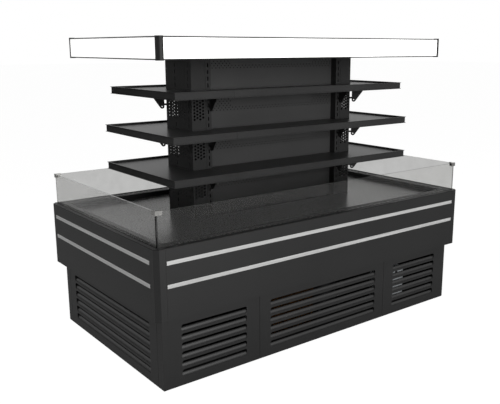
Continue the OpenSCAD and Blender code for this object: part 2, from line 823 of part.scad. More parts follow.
// Outline extruded along X from x0 to x1; the outline's first axis points inward along +Y
module along_x(x0, x1) translate([x0, 0, 0]) rotate([90, 0, 90]) linear_extrude(x1 - x0) children();

// Louvred panel in the plane Y = 0 from x0 to x1, with louvres from l0 to l1
module louvred_panel(x0, x1, l0, l1) color(charcoal) {
    levels = [for (i = [0:louvre_count - 1]) louvre_top - louvre_height - i * louvre_pitch];
    blade_end = sheet / 4;
    difference() {
        block([x0, 0, floor_gap], [x1, sheet, skirt_bottom - slide_gap]);
        for (z = levels) block([l0, -overrun, z], [l1, sheet + overrun, z + louvre_height]);
    }
    for (z = levels) translate([0, 0, z]) {
        along_x(l0 - blade_end, l1 + blade_end) polygon(blade_outline());
        for (x = [l0 - sheet / 2, l1 - sheet / 2]) along_x(x, x + sheet) polygon(cheek_outline());
    }
}

// Corner panel at the front left, turning the corner with a return along the end
module corner_grille() {
    x0 = -base_half_l;
    x1 = -joint_x - seam / 2;
    translate([0, -base_half_d, 0])
        louvred_panel(x0, x1, x0 + louvre_corner_margin, x1 - louvre_inner_margin);
    color(charcoal) block([x0, -base_half_d, floor_gap],
        [x0 + sheet, -base_half_d + panel_return, skirt_bottom - slide_gap]);
}

module middle_grille() translate([0, -base_half_d, 0]) {
    l = joint_x - seam / 2;
    louvred_panel(-l, l, -l + louvre_plain_margin, l - louvre_plain_margin);
}

module front_left_grille() corner_grille();
module front_right_grille() mirror([1, 0, 0]) corner_grille();
module back_left_grille() mirror([0, 1, 0]) corner_grille();
module back_right_grille() mirror([0, 1, 0]) front_right_grille();
module front_middle_grille() middle_grille();
module back_middle_grille() mirror([0, 1, 0]) middle_grille();
module left_grille() to_left_end() translate([0, -base_half_l, 0]) {
    l = base_half_d - panel_return - seam;
    louvred_panel(-l, l, -l + louvre_plain_margin, l - louvre_plain_margin);
}
module right_grille() mirror([1, 0, 0]) left_grille();

// Condensing unit: coil at the front, fan behind it, compressor beside them
coil_front = -rail_in_d + rail;
coil_x = -joint_x / 2;
coil_back = coil_front + condenser_thickness;
coil_foot = tray_top;
fan_z = coil_foot + condenser_height / 2;
shroud_depth = 36;
shroud_wall = 2;
motor_length = 54;
motor_radius = 34;
shaft_radius = 5;
hub_radius = 24;
strut = 8;
fan_depth = 26;
fan_y = coil_back + (shroud_depth - fan_depth) / 2;

// Coil block of half length l with return bends at both ends, standing on z0
module coil(l, depth, height, z0) {
    bends = 4;
    bend_radius = height / bends / 4;
    block([-l, 0, z0], [l, depth, z0 + height]);
    both_ends() for (i = [0:bends - 1])
        translate([l, depth / 2, z0 + (i + 1 / 2) * height / bends])
            rotate([0, 90, 0]) rotate([0, 0, 90]) rotate([90, 0, 0])
                rotate_extrude(angle = 180) translate([bend_radius, 0]) circle(r = pipe_radius);
}

module condenser_coil() color(zinc) translate([coil_x, coil_front, 0])
    coil(condenser_length / 2, condenser_thickness, condenser_height, coil_foot);

// Plate with a round mouth in front of the fan, and struts that hold the motor
module fan_shroud() color(black_steel) {
    mouth = condenser_fan_radius + 2 * slide_gap;
    l = condenser_length / 2;
    back = coil_back + shroud_depth;
    motor_end = back + slide_gap + motor_length;
    top = coil_foot + condenser_height;
    difference() {
        block([coil_x - l, coil_back, coil_foot], [coil_x + l, back, top]);
        block([coil_x - l + shroud_wall, coil_back - overrun, coil_foot + shroud_wall],
              [coil_x + l - shroud_wall, back - fan_depth, top - shroud_wall]);
        translate([coil_x, coil_back - overrun, fan_z]) rotate([-90, 0, 0])
            cylinder(h = shroud_depth + 2 * overrun, r = mouth);
    }
    strut_x = mouth + strut;
    for (x = [coil_x - strut_x, coil_x + strut_x])
        block([x - strut / 2, back, fan_z - strut / 2], [x + strut / 2, motor_end, fan_z + strut / 2]);
    block([coil_x - strut_x - strut / 2, motor_end, fan_z - strut],
          [coil_x + strut_x + strut / 2, motor_end + strut, fan_z + strut]);
}

// Motor can with a bore for the shaft, its mouth facing -Y at the origin
module motor(r, length) difference() {
    rotate([-90, 0, 0]) cylinder(h = length, r = r);
    translate([0, -overrun, 0]) rotate([-90, 0, 0])
        cylinder(h = length / 2 + overrun, r = shaft_radius + fit);
}

module fan_motor() color(zinc) translate([coil_x, coil_back + shroud_depth + slide_gap, fan_z])
    motor(motor_radius, motor_length);

// Fan of radius r on the Y axis, its hub from Y = 0 to depth, with a shaft behind it
module fan(r, hub, depth, shaft) {
    blades = 5;
    blade_pitch = 32;
    blade_thickness = 2;
    blade_root_share = 0.8;
    blade_width_share = 0.85;
    width = depth / sin(blade_pitch) * blade_width_share;
    reach = sqrt(r * r - pow(width / 2, 2));
    rotate([-90, 0, 0]) {
        cylinder(h = depth, r = hub);
        cylinder(h = depth + shaft, r = shaft_radius);
    }
    for (i = [0:blades - 1]) rotate([0, 360 / blades * i, 0])
        translate([hub * blade_root_share, depth / 2, 0]) rotate([blade_pitch, 0, 0])
            block([0, -blade_thickness / 2, -width / 2],
                  [reach - hub * blade_root_share, blade_thickness / 2, width / 2]);
}

module condenser_fan() color(black_steel) translate([coil_x, fan_y, fan_z])
    fan(condenser_fan_radius, hub_radius, fan_depth, shroud_depth - fan_depth + motor_length / 3);

compressor_x = joint_x / 2;
compressor_y = -rail_in_d / 2;
compressor_foot = 14;
foot_plate = 4;
can_top = tray_top + compressor_foot + foot_plate + compressor_height;

// Welded can on a foot plate with four rubber feet
module compressor() color(black_steel) translate([compressor_x, compressor_y, tray_top]) {
    dome_share = 0.3;
    neck_share = 0.72;
    foot_radius = 12;
    plate_half = compressor_radius;
    dome = compressor_radius * dome_share;
    translate([0, 0, compressor_foot + foot_plate]) rotate_extrude() polygon([
        [0, 0], [compressor_radius, 0], [compressor_radius, compressor_height - dome],
        [compressor_radius * neck_share, compressor_height], [0, compressor_height]]);
    block([-plate_half, -plate_half, compressor_foot],
          [plate_half, plate_half, compressor_foot + foot_plate]);
    four_corners() translate([plate_half - foot_radius, plate_half - foot_radius, 0])
        cylinder(h = compressor_foot, r = foot_radius);
}

pipe_gap = 3 * pipe_radius;
bend_z = max(can_top, coil_foot + condenser_height) + pipe_gap;

// Copper pipes: compressor to condenser, then condenser and compressor to the evaporator
module refrigerant_pipes() color(copper) {
    coil_y = coil_front + pipe_gap;
    coil_end = coil_x + condenser_length / 2 - pipe_gap;
    coil_top = coil_foot + condenser_height;
    can_x = compressor_x - pipe_gap;
    hatch_x = pipe_hatch_x + pipe_hatch_l / 2;
    hatch_y = pipe_hatch_y + pipe_hatch_d / 2;
    liquid_x = hatch_x - pipe_gap;
    suction_x = hatch_x + pipe_gap;
    suction_y = compressor_y + pipe_gap;
    liquid_z = bend_z + pipe_gap;
    pipe([[can_x, compressor_y, can_top], [can_x, compressor_y, bend_z], [can_x, coil_y, bend_z],
          [coil_end, coil_y, bend_z], [coil_end, coil_y, coil_top]], pipe_radius);
    pipe([[coil_end - pipe_gap, coil_y, coil_top], [coil_end - pipe_gap, coil_y, liquid_z],
          [coil_end - pipe_gap, hatch_y, liquid_z], [liquid_x, hatch_y, liquid_z],
          [liquid_x, hatch_y, evaporator_foot]], pipe_radius);
    pipe([[compressor_x + pipe_gap, suction_y, can_top], [compressor_x + pipe_gap, suction_y, bend_z],
          [suction_x, suction_y, bend_z], [suction_x, hatch_y, bend_z],
          [suction_x, hatch_y, evaporator_foot]], pipe_radius);
}

// Evaporator under the column, on two bearers, with a fan plate in front of it
bearer = 30;
evaporator_foot = floor_top + bearer;
plate_y = -evaporator_depth / 2 - motor_length - strut;
evaporator_fan_x = evaporator_length / 4;
evaporator_fan_z = floor_top + evaporator_fan_radius + 2 * strut;

module evaporator_coil() color(zinc) {
    translate([0, -evaporator_depth / 2, 0])
        coil(evaporator_length / 2, evaporator_depth, evaporator_height, evaporator_foot);
    bearer_x = evaporator_length / 2 - 2 * bearer;
    both_ends() block([bearer_x, -evaporator_depth / 2, floor_top],
        [bearer_x + bearer, evaporator_depth / 2, evaporator_foot]);
}

// Plate with two fan mouths; each motor sits on a strut that bridges its mouth
module evaporator_fan_plate() color(zinc) {
    l = evaporator_length / 2;
    top = evaporator_fan_z + evaporator_fan_radius + 2 * strut;
    difference() {
        block([-l, plate_y, floor_top], [l, plate_y + sheet, top]);
        both_ends() translate([evaporator_fan_x, plate_y - overrun, evaporator_fan_z]) rotate([-90, 0, 0])
            cylinder(h = sheet + 2 * overrun, r = evaporator_fan_radius + 2 * slide_gap);
    }
    both_ends() {
        block([evaporator_fan_x - strut / 2, plate_y + sheet, floor_top],
              [evaporator_fan_x + strut / 2, plate_y + sheet + strut,
               evaporator_fan_z - motor_radius + strut]);
        translate([evaporator_fan_x, plate_y + sheet, evaporator_fan_z])
            motor(motor_radius, motor_length - strut);
    }
}

evaporator_fan_y = plate_y - fan_depth - slide_gap;

module left_evaporator_fan() color(black_steel)
    translate([-evaporator_fan_x, evaporator_fan_y, evaporator_fan_z])
        fan(evaporator_fan_radius, hub_radius, fan_depth, sheet + slide_gap + motor_length / 4);

module right_evaporator_fan() mirror([1, 0, 0]) left_evaporator_fan();

// Control box on the side of the leg behind the front right panel
control_x = joint_x + rail / 2;
control_y = -rail_in_d - rail / 2;
control_z = rail * 2;
rocker_width = 16;
rocker_height = 26;
rocker_tilt = 8;
rocker_depth = 9;
pin_radius = 2;
pin_length = 22;
pin_y = rocker_depth;
switch_z = control_z + control_height - rocker_height;
light_switch_x = control_x + control_width / 3;
power_switch_x = control_x + control_width * 2 / 3;

// Side outline of a rocker: two faces that meet at a shallow angle, on a tapered back
function rocker_outline() = let (proud_share = 0.45, taper_share = 0.7)
    [[-rocker_depth * proud_share, -rocker_height / 2], [0, 0],
     [-rocker_depth * proud_share, rocker_height / 2],
     [rocker_depth, rocker_height / 2 * taper_share],
     [rocker_depth, -rocker_height / 2 * taper_share]];

module rocker() color(black_steel) translate([0, pin_y, 0]) rotate([rocker_tilt, 0, 0]) {
    translate([0, -rocker_depth / 2, 0])
        along_x(-rocker_width / 2, rocker_width / 2) polygon(rocker_outline());
    translate([-pin_length / 2, 0, 0]) rotate([0, 90, 0]) cylinder(h = pin_length, r = pin_radius);
}

// Pocket for a rocker and its pivot pin
module rocker_pocket() {
    w = rocker_width / 2 + slide_gap;
    h = rocker_height / 2 + 2 * slide_gap;
    d = 2 * rocker_depth + 2 * slide_gap;
    block([-w, -overrun, -h], [w, d, h]);
    translate([-pin_length / 2 - fit, pin_y, 0]) rotate([0, 90, 0])
        cylinder(h = pin_length + 2 * fit, r = pin_radius + fit);
}

module control_box() color(zinc) difference() {
    block([control_x, control_y, control_z],
          [control_x + control_width, control_y + control_depth, control_z + control_height]);
    for (x = [light_switch_x, power_switch_x]) translate([x, control_y, switch_z]) rocker_pocket();
}

module light_switch() translate([light_switch_x, control_y, switch_z]) rocker();
module power_switch() translate([power_switch_x, control_y, switch_z]) rocker();

// Cable gland under the control box: a hexagon nut and a domed cap with a bore
module power_inlet() color(black_steel) {
    nut_radius = 16;
    nut_height = 8;
    cap_radius = 12;
    cap_height = 14;
    bore_radius = 6;
    nut_sides = 6;
    translate([control_x + control_width / 2, control_y + control_depth / 2, control_z]) difference() {
        union() {
            translate([0, 0, -nut_height]) cylinder(h = nut_height, r = nut_radius, $fn = nut_sides);
            translate([0, 0, -nut_height - cap_height]) cylinder(h = cap_height, r = cap_radius);
        }
        translate([0, 0, -nut_height - cap_height - overrun])
            cylinder(h = nut_height + cap_height + overrun, r = bore_radius);
    }
}

base_rails();
machine_tray();
insulated_tank();
front_skirt();
back_skirt();
left_skirt();
right_skirt();
corner_posts();
bumper_strips();
rim_caps();
air_grilles();
long_glass();
end_glass();
glass_clips();
front_deck_pan();
back_deck_pan();
left_deck_pan();
right_deck_pan();
slotted_uprights();
column_casings();
bay_panels();
shelf_brackets();
top_front_shelf();
top_back_shelf();
top_left_shelf();
top_right_shelf();
middle_front_shelf();
middle_back_shelf();
middle_left_shelf();
middle_right_shelf();
bottom_front_shelf();
bottom_back_shelf();
bottom_left_shelf();
bottom_right_shelf();
canopy_frame();
canopy_fascias();
canopy_covers();
canopy_lights();
front_left_grille();
front_middle_grille();
front_right_grille();
back_left_grille();
back_middle_grille();
back_right_grille();
left_grille();
right_grille();
compressor();
condenser_coil();
fan_shroud();
fan_motor();
condenser_fan();
refrigerant_pipes();
evaporator_coil();
evaporator_fan_plate();
left_evaporator_fan();
right_evaporator_fan();
control_box();
light_switch();
power_switch();
power_inlet();
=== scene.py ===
import math

import bmesh
import bpy
from mathutils import Matrix, Vector


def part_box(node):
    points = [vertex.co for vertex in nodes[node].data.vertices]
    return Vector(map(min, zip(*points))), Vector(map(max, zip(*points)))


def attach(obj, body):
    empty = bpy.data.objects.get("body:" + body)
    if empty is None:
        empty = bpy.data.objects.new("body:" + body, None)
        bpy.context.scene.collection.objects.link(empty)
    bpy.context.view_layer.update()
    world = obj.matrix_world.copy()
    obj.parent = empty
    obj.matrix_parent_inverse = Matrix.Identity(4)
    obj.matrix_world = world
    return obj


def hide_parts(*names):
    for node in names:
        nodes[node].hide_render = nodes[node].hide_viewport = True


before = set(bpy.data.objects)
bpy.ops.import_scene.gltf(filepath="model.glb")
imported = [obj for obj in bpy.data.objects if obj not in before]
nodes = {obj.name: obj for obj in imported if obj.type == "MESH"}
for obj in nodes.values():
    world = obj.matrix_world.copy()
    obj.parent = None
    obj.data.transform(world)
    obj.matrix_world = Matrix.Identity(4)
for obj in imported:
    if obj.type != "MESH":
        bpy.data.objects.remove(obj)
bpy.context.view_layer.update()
print("frame loaded:", len(nodes), "solids")

# Lengths are in millimetres, as in the CAD, and become metres where a mesh or texture is made
mm = 0.001


# Adds a node; an input that is given a socket is linked to it, any other is set to the value
def addNode(tree, kind, inputs=None, **settings):
    node = tree.nodes.new(kind)
    for key, value in settings.items():
        setattr(node, key, value)
    for key, value in (inputs or {}).items():
        if isinstance(value, bpy.types.NodeSocket):
            tree.links.new(value, node.inputs[key])
        else:
            node.inputs[key].default_value = value
    return node


# Adds a maths node and gives its result
def calculate(tree, operation, *values):
    return addNode(tree, "ShaderNodeMath", dict(enumerate(values)), operation=operation).outputs[0]


def combine(tree, x=0.0, y=0.0, z=0.0):
    return addNode(tree, "ShaderNodeCombineXYZ", {"X": x, "Y": y, "Z": z}).outputs[0]


# Turns a value that runs from start to end into one that runs from low to high
def mapRange(tree, value, low, high, start=0.0, end=1.0):
    span = addNode(tree, "ShaderNodeMapRange", {
        "Value": value, "From Min": start, "From Max": end, "To Min": low, "To Max": high})
    return span.outputs["Result"]


# A Mix node has its two colours on inputs 6 and 7, and the mixed colour on output 2
def mixColours(tree, share, first, second):
    mix = addNode(tree, "ShaderNodeMix", {"Factor": share, 6: first, 7: second}, data_type="RGBA")
    return mix.outputs[2]


def mixShaders(tree, share, first, second):
    return addNode(tree, "ShaderNodeMixShader", {0: share, 1: first, 2: second}).outputs[0]


# Linear colour of an sRGB hex code
def linearColour(hexColour):
    channels = [int(hexColour[i:i + 2], 16) / 255 for i in (1, 3, 5)]
    return [c / 12.92 if c <= 0.04045 else ((c + 0.055) / 1.055) ** 2.4 for c in channels] + [1.0]


# Camera where the photograph was taken from, with its distance and target in metres
photoView = {
    "azimuth": -38.2636,
    "elevation": 12.7559,
    "distance": 3.9301,
    "target": (0.0521, 0.0, 0.6298),
    "lens": 49.167,
    "sensor": 36.0,
    "shiftX": -0.0423,
}


def addCamera(view):
    azimuth = math.radians(view["azimuth"])
    elevation = math.radians(view["elevation"])
    back = Vector((math.sin(azimuth) * math.cos(elevation),
                   -math.cos(azimuth) * math.cos(elevation),
                   math.sin(elevation)))
    data = bpy.data.cameras.new("photoCamera")
    data.lens = view["lens"]
    data.sensor_width = view["sensor"]
    data.shift_x = view["shiftX"]
    camera = bpy.data.objects.new("photoCamera", data)
    camera.location = Vector(view["target"]) + back * view["distance"]
    camera.rotation_euler = (-back).to_track_quat("-Z", "Y").to_euler()
    bpy.context.scene.collection.objects.link(camera)
    bpy.context.scene.camera = camera


addCamera(photoView)
bpy.context.scene.view_settings.view_transform = "Standard"
print("camera placed")


def startMaterial(name, roughness, metallic=0.0, specular=0.5):
    material = bpy.data.materials.new(name)
    material.use_nodes = True
    shader = material.node_tree.nodes["Principled BSDF"]
    shader.inputs["Roughness"].default_value = roughness
    shader.inputs["Metallic"].default_value = metallic
    shader.inputs["Specular IOR Level"].default_value = specular
    return material, material.node_tree, shader


# Noise that is fixed to the object, in patches of about sizeMm
def objectNoise(tree, sizeMm, stretch=(1, 1, 1), detail=3.0):
    coordinates = addNode(tree, "ShaderNodeTexCoord")
    stretched = addNode(tree, "ShaderNodeMapping",
                        {"Vector": coordinates.outputs["Object"], "Scale": stretch})
    noise = addNode(tree, "ShaderNodeTexNoise", {
        "Vector": stretched.outputs["Vector"], "Scale": 1 / (sizeMm * mm), "Detail": detail})
    return noise.outputs["Fac"]


# Colour that goes from one to the other as the factor goes from low to high
def blendColours(tree, factor, hexLow, hexHigh, low=0.35, high=0.65):
    ramp = addNode(tree, "ShaderNodeValToRGB", {"Fac": factor})
    ramp.color_ramp.elements[0].position = low
    ramp.color_ramp.elements[0].color = linearColour(hexLow)
    ramp.color_ramp.elements[1].position = high
    ramp.color_ramp.elements[1].color = linearColour(hexHigh)
    return ramp.outputs["Color"]


def setSurface(tree, shader):
    tree.links.new(shader, tree.nodes["Material Output"].inputs["Surface"])


def setColour(tree, shader, factor, *blend):
    tree.links.new(blendColours(tree, factor, *blend), shader.inputs["Base Color"])


def setRoughness(tree, shader, factor, low, high):
    tree.links.new(mapRange(tree, factor, low, high), shader.inputs["Roughness"])


def setBump(tree, shader, factor, depthMm):
    bump = addNode(tree, "ShaderNodeBump", {"Height": factor, "Distance": depthMm * mm})
    tree.links.new(bump.outputs["Normal"], shader.inputs["Normal"])


# Powder-coated sheet steel: sprayed and baked, so it has a fine orange peel and a satin sheen.
# The peel is really 1 to 2 mm across; it is drawn at 6 mm, which is about one pixel.
def powderCoat(name, hexLow, hexHigh, roughness, specular):
    material, tree, shader = startMaterial(name, roughness, specular=specular)
    drift = objectNoise(tree, sizeMm=420, detail=2.0)
    peel = objectNoise(tree, sizeMm=6)
    setColour(tree, shader, drift, hexLow, hexHigh)
    setRoughness(tree, shader, peel, roughness - 0.05, roughness + 0.05)
    setBump(tree, shader, peel, depthMm=0.02)
    return material


# Painted shade: the column's foot stands deep in the tank, where the photograph shows it ever
# darker towards the deck, and that shade is painted into its colour. The paint goes from dark to
# clear between these heights, and share is how much of its colour is left at the dark end.
columnShade = {"dark": 730.0, "clear": 910.0, "share": 0.25}


# Powder coat with painted shade, which darkens its colour towards the column's foot
def paintedShadeCoat(name, hexLow, hexHigh, roughness, specular):
    material = powderCoat(name, hexLow, hexHigh, roughness, specular)
    tree = material.node_tree
    paint = tree.nodes["Principled BSDF"].inputs["Base Color"]
    coordinates = addNode(tree, "ShaderNodeTexCoord")
    spot = addNode(tree, "ShaderNodeSeparateXYZ", {0: coordinates.outputs["Object"]})
    share = mapRange(tree, spot.outputs["Z"], columnShade["share"], 1.0,
                     columnShade["dark"] * mm, columnShade["clear"] * mm)
    # painted shade: the colour is mixed towards black below the clear height
    shaded = mixColours(tree, share, linearColour("#000000"), paint.links[0].from_socket)
    tree.links.new(shaded, paint)
    return material


# Satin anodised aluminium strip: drawn, so it has fine lines along its length
def anodisedStrip(name):
    material, tree, shader = startMaterial(name, 0.5, metallic=0.25, specular=0.4)
    lines = objectNoise(tree, sizeMm=7, stretch=(0.02, 0.02, 1))
    setColour(tree, shader, lines, "#aaaaa9", "#b8b8b7")
    setRoughness(tree, shader, lines, 0.42, 0.55)
    setBump(tree, shader, lines, depthMm=0.02)
    return material


# Chrome-plated cast zinc: brushed to a satin, with a faint haze from handling
def satinChrome(name):
    material, tree, shader = startMaterial(name, 0.25, metallic=1.0)
    haze = objectNoise(tree, sizeMm=14)
    setColour(tree, shader, haze, "#b4b3b0", "#c6c5c2")
    setRoughness(tree, shader, haze, 0.18, 0.34)
    return material


# Toughened float glass: smooth and a little grey. The veil is a painted reflection: the share of it
# that is given a pale matt colour, which shows pale over dark things as the sheen of the glass would.
# Light from the lamps and from matt surfaces passes straight through, so what is behind the glass stays
# evenly lit.
def toughenedGlass(name, hexLow, hexHigh, ior=1.3, veil=0.0):
    material, tree, shader = startMaterial(name, 0.02)
    shader.inputs["IOR"].default_value = ior
    shader.inputs["Transmission Weight"].default_value = 1.0
    smear = objectNoise(tree, sizeMm=60)
    setColour(tree, shader, smear, hexLow, hexHigh)
    setRoughness(tree, shader, smear, 0.0, 0.02)
    # painted reflection: a pale matt film that stands in for the sheen of the glass
    paintedReflectionVeil = addNode(tree, "ShaderNodeBsdfDiffuse", {"Color": linearColour("#e6e6e5")})
    withPaintedReflection = mixShaders(tree, veil, shader.outputs["BSDF"], paintedReflectionVeil.outputs["BSDF"])
    path = addNode(tree, "ShaderNodeLightPath")
    lighting = calculate(tree, "MAXIMUM", path.outputs["Is Shadow Ray"], path.outputs["Is Diffuse Ray"])
    clear = addNode(tree, "ShaderNodeBsdfTransparent", {"Color": linearColour("#dcdcdb")})
    setSurface(tree, mixShaders(tree, lighting, withPaintedReflection, clear.outputs["BSDF"]))
    return material


# Edge of a glass pane, ground or polished: it scatters the light, so the ground one shows as a
# pale line over dark things and as a grey line over white ones
def paneEdge(name, hexLow, hexHigh):
    material, tree, shader = startMaterial(name, 0.4)
    scratch = objectNoise(tree, sizeMm=4)
    setColour(tree, shader, scratch, hexLow, hexHigh)
    setRoughness(tree, shader, scratch, 0.3, 0.5)
    setBump(tree, shader, scratch, depthMm=0.05)
    return material


# Opal acrylic: extruded and milky white. Over the lamps it glows as it is lit from behind; on the
# fascias its glow is painted light.
def opalAcrylic(name, glow):
    material, tree, shader = startMaterial(name, 0.35)
    cloud = objectNoise(tree, sizeMm=300, detail=1.0)
    setColour(tree, shader, cloud, "#f4f4f2", "#fbfbfa")
    setRoughness(tree, shader, cloud, 0.3, 0.4)
    shader.inputs["Emission Color"].default_value = linearColour("#ffffff")
    shader.inputs["Emission Strength"].default_value = glow
    return material


# Hot-dip galvanised sheet: zinc crystals 15 mm across, each with its own grey
def galvanisedSheet(name, hexLow, hexHigh):
    material, tree, shader = startMaterial(name, 0.4, metallic=1.0)
    coordinates = addNode(tree, "ShaderNodeTexCoord")
    spangle = addNode(tree, "ShaderNodeTexVoronoi",
                      {"Vector": coordinates.outputs["Object"], "Scale": 1 / (15 * mm)})
    grey = addNode(tree, "ShaderNodeSeparateColor", {"Color": spangle.outputs["Color"]})
    setColour(tree, shader, grey.outputs[0], hexLow, hexHigh, 0.0, 1.0)
    setRoughness(tree, shader, grey.outputs[1], 0.32, 0.5)
    return material


# Aluminium fin stock: rolled thin, with pressed ripples along each fin. Bare it is a cool grey;
# with the gold epoxy coat of a condenser it is a warm brown.
def finStock(name, hexLow, hexHigh):
    material, tree, shader = startMaterial(name, 0.38, metallic=1.0)
    ripple = objectNoise(tree, sizeMm=9, stretch=(1, 1, 0.1))
    setColour(tree, shader, ripple, hexLow, hexHigh)
    setRoughness(tree, shader, ripple, 0.3, 0.48)
    setBump(tree, shader, ripple, depthMm=0.1)
    return material


# Drawn copper tube: bright where new, browned in patches by the brazing flame
def drawnCopper(name):
    material, tree, shader = startMaterial(name, 0.3, metallic=1.0)
    tarnish = objectNoise(tree, sizeMm=45)
    setColour(tree, shader, tarnish, "#7d4a30", "#c98460")
    setRoughness(tree, shader, tarnish, 0.22, 0.42)
    return material


# Moulded ABS or nylon: a fine spark texture from the tool
def mouldedPlastic(name, hexLow, hexHigh, roughness):
    material, tree, shader = startMaterial(name, roughness)
    spark = objectNoise(tree, sizeMm=2)
    setColour(tree, shader, spark, hexLow, hexHigh)
    setRoughness(tree, shader, spark, roughness - 0.06, roughness + 0.06)
    setBump(tree, shader, spark, depthMm=0.05)
    return material


# After its name a coat has its darkest and lightest colour, its roughness and how much it shines;
# a glass has its colours, and the front one how little it bends light and its veil of painted
# reflection
finish = {
    "cabinet": powderCoat("powder coated steel, cabinet", "#0f0f0f", "#131313", 0.43, 0.52),
    "rim": powderCoat("powder coated steel, rim", "#1e1e1e", "#222222", 0.42, 0.1),
    "frame": powderCoat("powder coated steel, black frame", "#121212", "#181818", 0.45, 0.2),
    # The casing and bay panel coats carry painted shade, darker towards the column's foot
    "casing": paintedShadeCoat("powder coated steel, black casing, painted shade at foot", "#212121", "#262626", 0.5, 0.15),
    "bay": paintedShadeCoat("powder coated steel, bay panel, painted shade at foot", "#2f2f2f", "#343434", 0.5, 0.2),
    # The black backing is painted shade: sheets behind the louvres and the bay holes that keep them
    # dark
    "paintedShadeBacking": powderCoat("black backing sheet, painted shade", "#060606", "#090909", 0.7, 0.1),
    "shelf": powderCoat("powder coated steel, shelf", "#2a2a2a", "#2f2f2f", 0.32, 0.09),
    "rail": powderCoat("powder coated steel, matt price rail", "#2e2e2e", "#333333", 0.6, 0.0),
    "deck": powderCoat("powder coated steel, deck", "#131313", "#181818", 0.28, 0.85),
    "liner": powderCoat("powder coated tank liner", "#0c0c0c", "#101010", 0.55, 0.3),
    "canopyWhite": powderCoat("white enamelled steel", "#f0f0ee", "#f6f6f5", 0.4, 0.5),
    # The fascias are no lamps; their glow is painted light that makes them read pure white
    "fascia": opalAcrylic("opal acrylic fascia, painted glow", 0.55),
    "lamp": opalAcrylic("opal acrylic lamp cover", 1.2),
    "strip": anodisedStrip("satin anodised aluminium"),
    "chrome": satinChrome("chrome plated zinc"),
    # The front pane's veil is a painted reflection, a pale matt film in place of the glass's sheen
    "frontGlass": toughenedGlass("toughened float glass, front pane", "#f7f7f6", "#fbfbfa", 1.1, 0.012),
    "leftGlass": toughenedGlass("toughened float glass, left pane", "#e4e4e3", "#e8e8e7"),
    # The far panes are greyed with painted shade, for the shaded inside seen through them
    "farGlassPaintedShade": toughenedGlass("toughened float glass, far panes greyed with painted shade", "#bdbdbc", "#c2c2c1"),
    "groundEdge": paneEdge("ground glass edge", "#a0a1a0", "#acadac"),
    "darkEdge": paneEdge("polished glass edge", "#343534", "#3e3f3e"),
    "zinc": galvanisedSheet("hot dip galvanised sheet", "#7c8184", "#b3b8bb"),
    "fins": finStock("rolled aluminium fin stock", "#8d9194", "#b4b8ba"),
    "coatedFins": finStock("gold coated fin stock", "#8a6238", "#a87c4a"),
    "copper": drawnCopper("drawn copper tube"),
    "compressor": powderCoat("enamelled steel shell", "#111112", "#18181a", 0.32, 0.5),
    "motor": galvanisedSheet("zinc plated motor can", "#6f7376", "#92979a"),
    "box": powderCoat("grey enamelled steel box", "#6d7072", "#787b7d", 0.45, 0.5),
    "fan": mouldedPlastic("moulded nylon fan", "#121212", "#1a1a1a", 0.5),
    "rocker": mouldedPlastic("moulded gloss switch rocker", "#0e0e0e", "#151515", 0.25),
    "gland": mouldedPlastic("moulded nylon gland", "#18181a", "#202022", 0.55),
}
print("materials made:", len(finish))

cadFinish = {
    "cabinet": ["front_skirt", "back_skirt", "left_skirt", "right_skirt", "corner_posts",
                "left_grille", "right_grille"]
               + [side + part + "_grille" for side in ("front_", "back_")
                  for part in ("left", "middle", "right")],
    "rim": ["rim_caps"],
    "frame": ["base_rails", "machine_tray", "canopy_frame", "shelf_brackets"],
    "casing": ["column_casings", "slotted_uprights"],
    "bay": ["bay_panels"],
    "shelf": [tier + side + "_shelf" for tier in ("top_", "middle_", "bottom_")
              for side in ("front", "back", "left", "right")],
    "deck": ["front_deck_pan", "back_deck_pan", "left_deck_pan", "right_deck_pan", "air_grilles"],
    "liner": ["insulated_tank"],
    "canopyWhite": ["canopy_covers"],
    "fascia": ["canopy_fascias"],
    "lamp": ["canopy_lights"],
    "strip": ["bumper_strips"],
    "chrome": ["glass_clips"],
    "frontGlass": ["long_glass"],
    "leftGlass": ["end_glass"],
    "zinc": ["evaporator_fan_plate", "fan_shroud"],
    "fins": ["condenser_coil", "evaporator_coil"],
    "copper": ["refrigerant_pipes"],
    "compressor": ["compressor"],
    "motor": ["fan_motor"],
    "box": ["control_box"],
    "fan": ["condenser_fan", "left_evaporator_fan", "right_evaporator_fan"],
    "rocker": ["light_switch", "power_switch"],
    "gland": ["power_inlet"],
}


def dressSolid(node, material):
    mesh = nodes[node].data
    mesh.materials.clear()
    mesh.materials.append(material)


# Greys the far pane of a pair with painted shade, for the shaded inside seen through it, and gives
# both panes the look of their upper edges. The axis is the one that runs from the near pane to
# the far one.
def dressPanes(node, axis, farGlassPaintedShade, nearEdge, farEdge):
    mesh = nodes[node].data
    for material in (farGlassPaintedShade, nearEdge, farEdge):
        mesh.materials.append(material)
    for polygon in mesh.polygons:
        isFar = polygon.center[axis] > 0
        isEdge = polygon.normal.z > 0.9
        polygon.material_index = 2 * isEdge + isFar


# Gives the folded edges of a shelf pan, which stand upright, the matt paint of the price rails
def dressRails(node, material):
    mesh = nodes[node].data
    mesh.materials.append(material)
    for polygon in mesh.polygons:
        if abs(polygon.normal.z) < 0.5:
            polygon.material_index = 1


for key, names in cadFinish.items():
    for nodeName in names:
        dressSolid(nodeName, finish[key])
for nodeName in cadFinish["shelf"]:
    dressRails(nodeName, finish["rail"])
dressPanes("long_glass", 1, finish["farGlassPaintedShade"], finish["darkEdge"], finish["groundEdge"])
dressPanes("end_glass", 0, finish["farGlassPaintedShade"], finish["groundEdge"], finish["groundEdge"])
print("solids dressed")


# Starts a node tree that takes its sizes by name
def startTree(name, sockets):
    tree = bpy.data.node_groups.new(name, "GeometryNodeTree")
    for label, kind in sockets.items():
        tree.interface.new_socket(label, in_out="INPUT", socket_type="NodeSocket" + kind)
    tree.interface.new_socket("Geometry", in_out="OUTPUT", socket_type="NodeSocketGeometry")
    entry = tree.nodes.new("NodeGroupInput")
    return tree, entry.outputs


